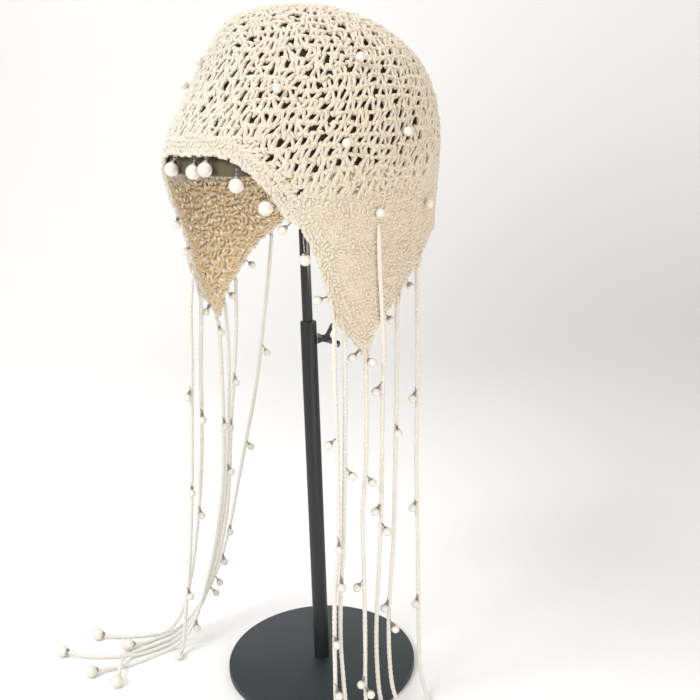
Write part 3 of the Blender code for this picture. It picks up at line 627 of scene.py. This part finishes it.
class Stitches:
    """Many strands laid on the hat, kept apart by piece until they are all placed."""

    def __init__(self):
        self.batches = []

    def lay(self, angle, along, across, down, depth, width, thick, taper, tone, inside=0.0, stray=1.0):
        """angle and along are a strand's middle; across (round the hat) and down run from there."""
        count, rings = across.shape
        lines = np.asarray(along)[:, None] + down
        angles = np.asarray(angle)[:, None] + across / radius_at(lines)
        aside, lower = wander(angles, lines)
        lines = np.maximum(lines + lower * stray, 0.0008)
        angles = angles + aside * stray / radius_at(lines)
        centres, normals = inset_point(angles, lines, np.broadcast_to(depth, (count, rings)))
        widths = np.broadcast_to(width, (count, 1)) * taper
        depths = np.broadcast_to(thick, (count, 1)) * taper
        tones = np.broadcast_to(tone, (count,))
        insides = np.broadcast_to(inside, (count,))
        self.batches.append((np.asarray(angle), centres, normals, widths, depths, tones, insides))

    def pour(self, chosen):
        """Puts the strands whose middle angle and height pass the test into one shape."""
        shape = Shape()
        for angle, centres, normals, widths, depths, tones, insides in self.batches:
            middle = centres[:, centres.shape[1] // 2]
            keep = chosen(wrapped(angle), middle[:, 2])
            if keep.any():
                parts = (part[keep] for part in (centres, normals, widths, depths))
                add_strands(shape, *parts, tone=tones[keep], inside=insides[keep])
        return shape


net = Stitches()
TOP_OF_DENSE = float(along_at(DENSE_TOP))


def closeness(angle, height):
    """How close the work is, from 0 where it is most open up to 1."""
    low = np.clip((0.418 - height) / 0.030, 0, 1)
    front = np.clip((0.460 - height) / 0.025, 0, 1)
    return np.maximum(low, front * np.clip(1.6 * np.cos(angle + 0.61) - 0.8, 0, 1))


def open_row(top, number):
    """Three leaning legs of two plies in each cell, and close stitches in cells too near the edge."""
    middle = top + OPEN_ROW / 2
    height = float(np.interp(middle, LINE, HEIGHTS))
    radius = radius_at(middle)
    count = max(6, int(round(2 * np.pi * radius / CELL)))
    cell = 2 * np.pi / count
    phase = (number * 0.5 + 0.13 * np.sin(number * 2.3)) * cell
    centre = phase + np.arange(count) * cell + rng.normal(0, 0.0005, count) / radius
    scale = cell * radius / CELL
    t = np.linspace(-0.20, 1.20, 6)
    clear = np.full(count, True)
    for aside in (-0.5, 0.0, 0.5):
        for down in (-0.5, 0.5):
            room = edge_distance(centre + aside * cell, np.full(count, middle + down * OPEN_ROW))
            clear = clear & (room > BORDER - 0.0010)
    fuller = 1 + 0.38 * closeness(centre, height) + 0.06 * (number % 2)
    for stops in LEGS:
        x = np.interp(t, (0, 0.5, 1), stops)[None] * scale
        x = x + rng.normal(0, 0.0003, (count, 1)) + rng.normal(0, 0.0010, (count, 1)) * (t - 0.5)
        y = (t - 0.5) * OPEN_ROW + rng.normal(0, 0.0004, (count, 1))
        tone = np.clip(rng.normal(0.62, TONE_SPREAD, count), 0, 1)
        girth = (rng.uniform(*PLY_RADII, count) * fuller)[:, None]
        for strand in (0, 1):
            twist = strand * np.pi + np.pi * 1.15 * t[None] + rng.uniform(-0.9, 0.9, (count, 1))
            side = PLY_OFFSET * fuller[:, None] * np.cos(twist)
            depth = 0.0015 - 0.0006 * np.sin(twist)
            places = (centre, np.full(count, middle), x + side, y, depth, girth, girth)
            net.lay(*(part[clear] for part in places), TAPER_6, tone[clear])
    # Lumps outside, and lumps on the inner face in a painted shade: a darker tone and some warm tan
    for depth, lean, tone, inside in ((0.0005, 24, 0.66, 0.0), (0.0021, -30, 0.50, 0.3)):
        lump = (0.0044, math.radians(lean), 0.00122, 0.0010, depth, tone, inside)
        slanted_row(top, CELL / 3, rng.random(), 0.0004, *lump, loose=24, dropped=DROPPED_SHARE)

    def closed_here(angle, along):
        """Whether the nearest cell was left out, so that close stitches take its place."""
        nearest = np.round((angle - phase) / cell).astype(int) % count
        return ~clear[nearest]

    for step, lean in ((-0.0026, 30), (0.0, -30), (0.0026, 30)):
        lump = (0.0046, math.radians(lean), 0.00120, 0.0012, 0.0010, 0.64)
        slanted_row(middle + step, 0.0034, rng.random(), 0.0003, *lump, only=closed_here, loose=16)
        # Inner lumps in a painted shade: a darker tone and half of the warm tan
        lump = (0.0050, math.radians(-lean), 0.00120, 0.0010, 0.0022, 0.5, 0.5)
        slanted_row(middle + step, 0.0042, rng.random(), 0.0003, *lump, only=closed_here, loose=16)


def lay_lumps(angle, along, length, lean, width, thick, depth, mean, inside=0.0, loose=5, stray=1.0):
    """Short slanted stitches of a mean tone; loose is how far their lean varies, in degrees."""
    count = len(angle)
    if not count:
        return
    lean = lean + rng.normal(0, math.radians(loose), count)
    reach = length / 2 * rng.normal(1, 0.09, count)
    t = np.linspace(-1, 1, 5)
    across = np.cos(lean)[:, None] * reach[:, None] * t
    down = np.sin(lean)[:, None] * reach[:, None] * t
    bend = 0.0005 if depth < 0.0016 else -0.0005
    arch = depth + (t**2)[None] * bend + rng.normal(0, 0.00018, (count, 1))
    size = rng.normal(1, 0.08, count)
    tone = np.clip(rng.normal(mean, TONE_SPREAD, count), 0, 1)
    girth = ((width * size)[:, None], (thick * size)[:, None])
    net.lay(angle, along, across, down, arch, *girth, TAPER_5, tone, inside, stray)


def slanted_row(along, pitch, phase, spread, *lump, only=None, dropped=0.0, **more):
    """A row of slanted lumps round the hat, but not in the edge's own rows or where only is false.

    lump is what lay_lumps takes from length on, and dropped the share that is left out.
    """
    count = max(6, int(round(2 * np.pi * radius_at(along) / pitch)))
    angle = (np.arange(count) + phase) * 2 * np.pi / count
    angle = angle + rng.normal(0, spread, count) / radius_at(along)
    rows = along + rng.normal(0, spread, count)
    keep = (edge_distance(angle, rows) > BORDER - 0.0012) & (rng.random(count) >= dropped)
    if only is not None:
        keep = keep & only(angle, rows)
    lay_lumps(angle[keep], rows[keep], *lump, **more)


def crown_rows():
    """Rows of openwork from the close work up, and rounds of lumps at the top."""
    bottom = TOP_OF_DENSE
    number = 0
    while bottom > OPENWORK_END:
        open_row(bottom - OPEN_ROW, number)
        bottom -= OPEN_ROW
        number += 1
    along = bottom - 0.0014
    while along > 0.0010:
        girth = 2 * np.pi * float(radius_at(along))
        pitch = girth / max(5, round(girth / 0.0038))
        lump = (0.0046, math.radians(35), 0.0013, 0.0011, 0.0011, 0.62)
        slanted_row(along, pitch, rng.random(), 0.0003, *lump, loose=10)
        along -= 0.0028


def dense_rows():
    """Close rows of fine lumps outside, and coarser ones inside in a painted warm shade, with bright
    stitches in a painted highlight among them.
    """
    lowest = float(EDGE_ALONG.max())
    along = TOP_OF_DENSE - CHANGE_REACH
    number = 0
    while along < lowest:
        lean = math.radians(40) * (1 if number % 2 == 0 else -1)
        missing = float(np.interp(along - TOP_OF_DENSE, (-CHANGE_REACH, 0.0), (0.9, 0.0)))
        lump = (0.0031, lean, 0.00098, 0.0009, 0.0009, 0.60)
        slanted_row(along, OUTER_PITCH, rng.random(), 0.0005, *lump, loose=34, dropped=missing)
        along += OUTER_ROW
        number += 1
    for along in np.arange(TOP_OF_DENSE + 0.001, TOP_OF_DENSE + CHANGE_REACH, 0.003):
        missing = float(np.interp(along - TOP_OF_DENSE, (0.0, CHANGE_REACH), (0.35, 0.95)))
        lump = (0.0048, math.radians(-70), 0.00115, 0.0009, 0.0005, 0.62)
        slanted_row(along, CELL / 3, rng.random(), 0.0007, *lump, loose=34, dropped=missing)
    along = TOP_OF_DENSE + 0.0014
    while along < lowest:
        lean = math.radians(36) * (1 if number % 2 == 0 else -1)
        # Inner lumps fully in the painted warm shade of the inner face
        lump = (0.0052, lean, 0.0016, 0.0009, 0.0026, 0.6, 1.0)
        slanted_row(along, INNER_PITCH, rng.random(), 0.0006, *lump, loose=24)
        along += INNER_ROW
        number += 1
    along = TOP_OF_DENSE + 0.003
    while along < lowest:
        # Painted highlight: these stitches take the bright cream of lit yarn on the shaded inner face
        bright = (0.0040, math.radians(112), 0.00140, 0.0012, 0.0036, 1.0, -1.0)
        slanted_row(along, BRIGHT_PITCH, rng.random(), 0.0016, *bright, loose=22)
        along += BRIGHT_ROW


def edge_rows():
    """Rows that follow the lower edge, and the scalloped rope along it."""
    tangent = unit(np.stack((np.gradient(EDGE_ANGLES) * EDGE_RADIUS, np.gradient(EDGE_ALONG)), -1))
    window = np.full(13, 1 / 13)
    columns = [np.convolve(np.pad(part, 6, "edge"), window, "valid") for part in tangent.T]
    tangent = unit(np.stack(columns, -1))
    slope = np.arctan2(tangent[:, 1], tangent[:, 0])
    beyond = np.stack((-tangent[:, 1], tangent[:, 0]), -1)

    def follow(start, pitch, offset):
        """Places along the edge, that far inside it, and the edge's slope there."""
        reach = np.arange(start, EDGE_REACH[-1], pitch)
        reach = reach + rng.normal(0, 0.00025, len(reach))
        offset = offset(reach) if callable(offset) else offset
        columns = (EDGE_ANGLES, EDGE_ALONG, *beyond.T, slope)
        angle, along, x, y, lean = (np.interp(reach, EDGE_REACH, values) for values in columns)
        offset = offset + rng.normal(0, 0.00035, len(reach))
        return angle - x * offset / EDGE_RADIUS, along - y * offset, lean

    for number in range(EDGE_ROWS):
        offset = EDGE_INSET + EDGE_ROW * (number + 0.75)
        angle, along, lean = follow(number * OUTER_PITCH / 2, OUTER_PITCH, offset)
        tilt = math.radians(38) * (1 if number % 2 == 0 else -1)
        outer = (0.0038, lean + tilt, 0.00116, 0.0010, 0.0008, 0.68)
        # Inner lumps in a painted shade: a darker tone and most of the warm tan
        inner = (0.0044, lean - tilt, 0.00125, 0.0010, 0.0024, 0.50, 0.9)
        lay_lumps(angle, along, *outer, loose=36, stray=0)
        lay_lumps(angle, along, *inner, loose=16, stray=0)

    def scalloped(reach):
        return EDGE_INSET - 0.0006 * np.cos(reach * 2 * np.pi / SCALLOP)

    for sign, depth, tone in ((1, 0.0009, 0.74), (-1, 0.0020, 0.64)):
        angle, along, lean = follow(0.0, 0.0030, scalloped)
        lean = lean + sign * math.radians(24)
        lay_lumps(angle, along, 0.0050, lean, 0.00145, 0.00125, depth, tone, stray=0)


crown_rows()
dense_rows()
edge_rows()


def add_sheet(shape, angles, tops, bottoms, rows):
    """A closed thin sheet between two lines down, for each angle where there is room for it."""
    t = np.linspace(0, 1, rows)
    lines = tops[:, None] + (bottoms - tops)[:, None] * t
    grids = []
    for depth in SHEET_DEPTHS:
        places = (np.broadcast_to(angles[:, None], lines.shape), lines, np.full(lines.shape, depth))
        grids.append(inset_point(*places)[0].reshape(-1, 3))
    columns = len(angles)
    index = np.arange(2 * columns * rows).reshape(2, columns, rows)
    faces = []
    for layer, flip in ((0, False), (1, True)):
        a = index[layer, :-1, :-1]
        b = index[layer, 1:, :-1]
        c = index[layer, 1:, 1:]
        d = index[layer, :-1, 1:]
        faces.append(np.stack((a, b, c, d) if flip else (a, d, c, b), -1).reshape(-1, 4))
    for end in (0, -1):
        for rim, turned in ((index[:, :, end], end != 0), (index[:, end], end == 0)):
            side = np.stack((rim[0, :-1], rim[0, 1:], rim[1, 1:], rim[1, :-1]), -1)
            faces.append(side[:, ::-1] if turned else side)
    # Painted shade: the sheet takes a darker tone than the stitches, seen in the gaps between them, and
    # its inner layer the warm tan shade
    inside = np.repeat((0.0, 1.0), columns * rows)
    shape.add(np.concatenate(grids), [np.concatenate(faces)], None, 0.35, inside)


SPLIT_ALONG = float(along_at(SPLIT_HEIGHT))
crown_sheet = Shape()
sheet_angles = np.radians(np.linspace(-180, 180, 301))
sheet_edge = edge_along(sheet_angles) - EDGE_INSET
sheet_bottom = np.minimum(sheet_edge, SPLIT_ALONG)
sheet_top = np.minimum(TOP_OF_DENSE, sheet_edge - BORDER)
add_sheet(crown_sheet, sheet_angles, sheet_top, sheet_bottom, 6)

for label, low in (("front_left", 0), ("front_right", -90), ("back_left", 90), ("back_right", -180)):
    def inside_quadrant(angle, height):
        degrees = np.degrees(angle)
        return (degrees >= low) & (degrees < low + 90) & (height >= SPLIT_HEIGHT)

    net.pour(inside_quadrant).build(f"crown_yarn_{label}", CREAM, "cream_yarn", ("crown",))
crown_sheet.build("crown_backing", CREAM, "cream_yarn", ("crown",))

for label, sign in (("left", 1), ("right", -1)):
    def on_flap(angle, height):
        return (np.sign(angle) == sign) & (height < SPLIT_HEIGHT)

    flap = net.pour(on_flap)
    angles = np.radians(np.linspace(48, 121, 90)) * sign
    bottoms = edge_along(angles) - EDGE_INSET
    keep = bottoms > SPLIT_ALONG + 0.0004
    order = np.arange(keep.sum()) if sign > 0 else np.arange(keep.sum())[::-1]
    chosen = angles[keep][order]
    add_sheet(flap, chosen, np.full(keep.sum(), SPLIT_ALONG), bottoms[keep][order], 14)
    flap.build(f"ear_flap_{label}_yarn", CREAM, "cream_yarn", (f"ear_flap_{label}",))


# Pearls
def pin_and_pole(name):
    """The two ends of a pearl on its pin: the pin's foot, and the pearl's far pole."""
    node = bpy.data.objects[name]
    points = np.array([node.matrix_world @ vertex.co for vertex in node.data.vertices])
    points = np.unique(np.round(points, 6), axis=0)
    gaps = np.linalg.norm(points[:, None] - points[None], axis=-1)
    first, second = np.unravel_index(gaps.argmax(), gaps.shape)
    gaps[np.diag_indices(len(points))] = 1
    if gaps[first].min() > gaps[second].min():
        first, second = second, first
    return points[first], points[second]


def pearl_on(pearls, metal, centre, radius, foot):
    """A pearl with a small cap, and a pin with a ring at its foot."""
    centre = np.array(centre)
    foot = np.array(foot)
    axis = unit(foot - centre)
    add_turned(pearls, ball_profile(radius), 24, centre, axis)
    cap = radius * 0.60
    rise = math.sqrt(radius**2 - cap**2)
    top = radius * 1.28
    dome = ((0, rise), (cap, rise - 0.0003), (cap, rise + 0.0003), (cap * 0.40, top), (0, radius * 1.30))
    add_turned(metal, dome, 16, centre, axis)
    end = np.linalg.norm(foot - centre)
    if end > radius * 1.1:
        profile = ((0, radius), (WIRE, radius), (WIRE, end), (0, end))
        add_turned(metal, profile, 8, centre, axis)
        add_ring(metal, foot, axis, 0.0011)
        add_ring(metal, centre + axis * (top + 0.0009), axis, 0.0009)


def add_ring(metal, centre, axis, radius):
    """A wire ring that hangs in the pin's own plane."""
    side = unit(np.cross(axis, (0.2, 0.3, 0.93)))
    turn = np.linspace(0, 2 * np.pi, 13)
    line = centre + radius * (np.cos(turn)[:, None] * axis + np.sin(turn)[:, None] * side)
    normal = np.broadcast_to(np.cross(axis, side), line.shape)
    add_strands(metal, line[None], normal[None], WIRE * 0.8, WIRE * 0.8)


front_pearls = {f"front_pearl_{n}": LARGE_PEARL for n in range(1, 6)} | {"corner_pearl": CORNER_PEARL}
edge_charms = {f"edge_charm_{n:02d}": SMALL_PEARL for n in range(1, 11)}
for title, radii in (("front_pearls", front_pearls), ("edge_charms", edge_charms)):
    pearls = Shape()
    metal = Shape()
    for name, radius in radii.items():
        foot, pole = pin_and_pole(name)
        pearl_on(pearls, metal, pole + unit(foot - pole) * radius, radius, foot)
    pearls.build(title, PEARL, "pearl", tuple(radii))
    metal.build(title + "_pins", METAL, "black_paint")

pearls = Shape()
names = [f"crown_pearl_{n:02d}" for n in range(1, 13)]
for name in names:
    low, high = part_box(name)
    add_turned(pearls, ball_profile(SMALL_PEARL), 24, np.array((low + high) / 2))
pearls.build("crown_pearls", PEARL, "pearl", names)


# Cords
def smooth_route(route):
    """A centripetal Catmull-Rom spline through a cord's own points, kept off the floor."""
    points = np.array(route, float) / 1000
    points = np.vstack([2 * points[0] - points[1], points, 2 * points[-1] - points[-2]])
    curve = []
    for before, start, end, after in zip(points, points[1:], points[2:], points[3:]):
        knots = [0.0]
        for a, b in ((before, start), (start, end), (end, after)):
            knots.append(knots[-1] + math.sqrt(np.linalg.norm(b - a)))
        count = max(2, int(np.linalg.norm(end - start) / ROUTE_STEP))
        for t in np.linspace(knots[1], knots[2], count, endpoint=False):
            mixed = (before, start, end, after)
            for reach in (1, 2):
                pairs = zip(mixed, mixed[1:], knots, knots[reach:])
                mixed = [((far - t) * a + (t - near) * b) / (far - near) for a, b, near, far in pairs]
            first, second = mixed
            curve.append(((knots[2] - t) * first + (t - knots[1]) * second) / (knots[2] - knots[1]))
    curve.append(points[-2])
    curve = np.array(curve)
    curve[:, 2] = np.maximum(curve[:, 2], CORD_RADIUS + 0.0001)
    return curve


def evenly(curve, step):
    """The same curve as evenly spaced points."""
    line = distances(curve)
    even = np.linspace(0, line[-1], int(line[-1] / step) + 1)
    return even, np.stack([np.interp(even, line, part) for part in curve.T], -1)


def cord_shape(reach, path, blend, inside):
    """A crocheted cord: four columns of slanted stitches round it, each half a stitch from the next.

    blend is the length over which its top swells, and inside how tan it is at each point.
    """
    sides = CORD_SIDES
    along = unit(np.gradient(path, axis=0))
    x = unit(np.cross(along[0], (0.3, 0.9, 0.2)))
    frames = []
    for direction in along:
        x = unit(x - direction * (x @ direction))
        frames.append(x)
    x = np.array(frames)
    y = np.cross(along, x)
    turn = 2 * np.pi * np.arange(sides) / sides
    spin = turn[None] + np.cumsum(rng.normal(0, 0.04, len(path)))[:, None]
    lump = np.zeros((len(path), sides))
    for column in range(4):
        around = wrapped(turn[None] - column * np.pi / 2)
        slant = 0.22 if column % 2 else -0.22
        shifted = reach[:, None] / CHAIN_PITCH + (column % 2) * 0.5 + around * slant
        ahead = (shifted + 0.5) % 1 - 0.5
        bulge = np.clip(1 - (around / 0.98) ** 2 - (ahead / 0.62) ** 2, 0, 1)
        lump = np.maximum(lump, np.sqrt(bulge))
    radius = CORD_RADIUS * (0.60 + 0.54 * lump) * (1 + rng.normal(0, 0.03, (len(path), 1)))
    radius *= (0.35 + 0.65 * np.clip(reach / blend, 0, 1))[:, None]
    radius[-1] *= 0.5
    spokes = x[:, None] * np.cos(spin)[..., None] + y[:, None] * np.sin(spin)[..., None]
    points = path[:, None] + spokes * radius[..., None]
    points[..., 2] = np.maximum(points[..., 2], 0.00005)
    index = np.arange(points.shape[0] * sides).reshape(-1, sides)
    u = np.arange(sides) / sides
    around = np.stack((u, u + 1 / sides, u + 1 / sides, u), -1)
    around = np.broadcast_to(around, (len(path) - 1, sides, 4))
    v = reach * 400
    lengths = np.stack((v[:-1], v[:-1], v[1:], v[1:]), -1)[:, None].repeat(sides, 1)
    uvs = np.stack((around, lengths), -1).reshape(-1, 4, 2)
    # Painted shade: the tone follows the stitch bulges, so the cord is darker in the grooves between them
    tone = 0.20 + 0.60 * lump.ravel()
    faces = (ring_walls(index), np.stack((index[0, ::-1], index[-1])))
    shape = Shape()
    shape.add(points.reshape(-1, 3), faces, (uvs, None), tone, np.repeat(inside, sides))
    return shape


ties = Shape()


def tie_cord(path):
    """Two short strands that sew a cord's top to the flap's edge above it."""
    start = path[0]
    angle = math.atan2(start[0] / HAT_WIDTH, -start[1] / HAT_LENGTH)
    for aside in (-0.0016, 0.0016):
        across = angle + aside / 0.090
        along = min(float(edge_along(across)) - 0.0055, float(along_at(start[2])) - 0.0045)
        head, normal = inset_point(np.array((across,)), np.array((along,)), np.array((0.0006,)))
        t = np.linspace(0, 1, 6)[:, None]
        line = head[0] * (1 - t) + path[5] * t + normal[0] * 0.0012 * np.sin(np.pi * t)
        normals = np.broadcast_to(normal, line.shape)[None]
        add_strands(ties, line[None], normals, 0.0011, 0.0010, tone=0.6)


for name, charms, route in CORDS:
    reach, path = evenly(smooth_route(route), CORD_STEP)
    if name == SEWN_CORD:
        blend = 0.010
        creamier = 0.35 * np.clip((path[:, 2] - SEWN_TO) / 0.040, 0, 1)
    else:
        blend = 0.001
        creamier = np.zeros(len(path))
        tie_cord(path)
    shape = cord_shape(reach, path, blend, creamier)
    cord = shape.build(f"cord_{name}_yarn", CORD_YARN, "cream_yarn", (f"cord_{name}",))
    low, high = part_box(f"end_pearl_{name}")
    centre = np.array((low + high) / 2)
    radius = (high.z - low.z) / 2
    pearls = Shape()
    metal = Shape()
    pearl_on(pearls, metal, centre, radius, path[-1])
    end = pearls.build(f"end_pearl_{name}_bead", PEARL, "pearl", (f"end_pearl_{name}",))
    beads = Shape()
    for height, offset in charms:
        hanging = np.nonzero(path[:, 2] > 0.012)[0]
        nearest = hanging[np.abs(path[hanging, 2] - height / 1000).argmin()]
        sideways = offset / 1000
        reach_out = CORD_RADIUS + SMALL_PEARL + 0.0006
        forwards = math.sqrt(max(0.0, reach_out**2 - sideways**2))
        spot = path[nearest] + PICTURE_RIGHT * sideways + TO_CAMERA * forwards
        spot[2] = max(spot[2] - 0.0008, SMALL_PEARL + 0.0002)
        above = path[max(0, nearest - int(rng.uniform(7, 12)))]
        foot = above + unit(spot - above) * CORD_RADIUS * 0.9
        pearl_on(beads, metal, spot, SMALL_PEARL, foot)
    pieces = [end, beads.build(f"cord_{name}_charms", PEARL, "pearl")]
    pieces.append(metal.build(f"cord_{name}_pins", METAL, "black_paint"))


ties.build("cord_ties", CREAM, "cream_yarn")


# Stand
def turned_piece(name, profile, sides, material, node):
    shape = Shape()
    add_turned(shape, profile, sides, (0, 0, 0))
    piece = shape.build(name, material, "black_paint", (node,))
    piece.data.set_sharp_from_angle(angle=math.radians(35))


_, (base_radius, _, base_top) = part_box("stand_base")
edge = 0.0011
foot = 0.0006
bevel = edge * 0.3
disc = ((0, 0), (base_radius - foot, 0), (base_radius, foot), (base_radius, base_top - edge))
disc += ((base_radius - bevel, base_top - bevel), (base_radius - edge, base_top), (0, base_top))
turned_piece("base_disc", disc, 160, DISC_PAINT, "stand_base")

(_, _, tube_bottom), (_, _, tube_top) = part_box("stand_tube")
tube_bottom = tube_bottom - 0.0002
tube_radius = 0.006
tube = ((0, tube_bottom), (tube_radius, tube_bottom), (tube_radius, tube_top - 0.0009))
tube += ((tube_radius - 0.0003, tube_top - 0.0003), (tube_radius - 0.0009, tube_top), (0, tube_top))
turned_piece("pole_tube", tube, 48, PAINT, "stand_tube")

for name, material in (("stand_rod", PAINT), ("wing_screw", PAINT), ("stand_dome", DOME_PAINT_WARM_LIGHT)):
    node = bpy.data.objects[name]
    node.data.materials.clear()
    node.data.materials.append(material)


# Light, floor and camera
def sweep():
    """A seamless floor that rises behind the object."""
    turns = np.linspace(0, math.pi / 2, 24)
    start, bend, reach = 0.9, 0.8, 3.0
    run = (-reach, *(start + bend * np.sin(turns)), start + bend)
    heights = (0.0, *(bend - bend * np.cos(turns)), reach)
    points = [photo_point(side, -a, height) for a, height in zip(run, heights) for side in (-reach, reach)]
    faces = [(2 * n, 2 * n + 1, 2 * n + 3, 2 * n + 2) for n in range(len(run) - 1)]
    mesh = bpy.data.meshes.new("backdrop")
    mesh.from_pydata(points, [], faces)
    mesh.polygons.foreach_set("use_smooth", np.full(len(faces), True))
    mesh.materials.append(backdrop_material())
    floor = bpy.data.objects.new("backdrop", mesh)
    bpy.context.scene.collection.objects.link(floor)
    return floor


def soft_light(name, place, target, size, power, colour):
    data = bpy.data.lights.new(name, "AREA")
    data.shape = "DISK"
    data.size = size
    data.energy = power
    data.color = colour
    light = bpy.data.objects.new(name, data)
    light.location = place
    aim = Vector(target) - Vector(place)
    light.rotation_euler = aim.to_track_quat("-Z", "Y").to_euler()
    bpy.context.scene.collection.objects.link(light)
    return light


floor = sweep()
key = soft_light("key_light", photo_point(-1.1, 0.9, 1.5), (0, 0, 0.35), 1.0, 21, (0.96, 0.985, 1.0))
fill = soft_light("fill_light", photo_point(1.6, 0.9, 0.9), (0, 0, 0.30), 1.4, 2, (1.0, 0.80, 0.66))
far_flap = (-0.085, -0.012, 0.34)
inner = soft_light("inner_light", (0.05, 0.03, 0.33), far_flap, 0.03, 0.055, (1.0, 0.93, 0.84))
low = soft_light("low_light", photo_point(0.7, 1.3, 0.15), (0, 0, 0.36), 1.0, 8, (1.0, 0.88, 0.76))
top = soft_light("top_light", photo_point(0.0, -0.3, 2.0), (0, 0, 0.30), 1.2, 12, (1.0, 0.99, 0.97))

world = bpy.data.worlds.new("studio")
world.use_nodes = True
background = world.node_tree.nodes["Background"].inputs
background[0].default_value = (1.0, 0.985, 0.965, 1)
background[1].default_value = 0.52
bpy.context.scene.world = world

camera_data = bpy.data.cameras.new("camera")
camera_data.lens = CAMERA_LENS
camera_data.sensor_width = 36
camera = bpy.data.objects.new("camera", camera_data)
turn = Matrix.Rotation(CAMERA_AZIMUTH, 4, "Z") @ Matrix.Rotation(math.pi / 2 - CAMERA_PITCH, 4, "X")
camera.matrix_world = Matrix.Translation(CAMERA_PLACE) @ turn @ Matrix.Rotation(-CAMERA_ROLL, 4, "Z")
bpy.context.scene.collection.objects.link(camera)
bpy.context.scene.camera = camera
bpy.context.scene.view_settings.view_transform = "Standard"
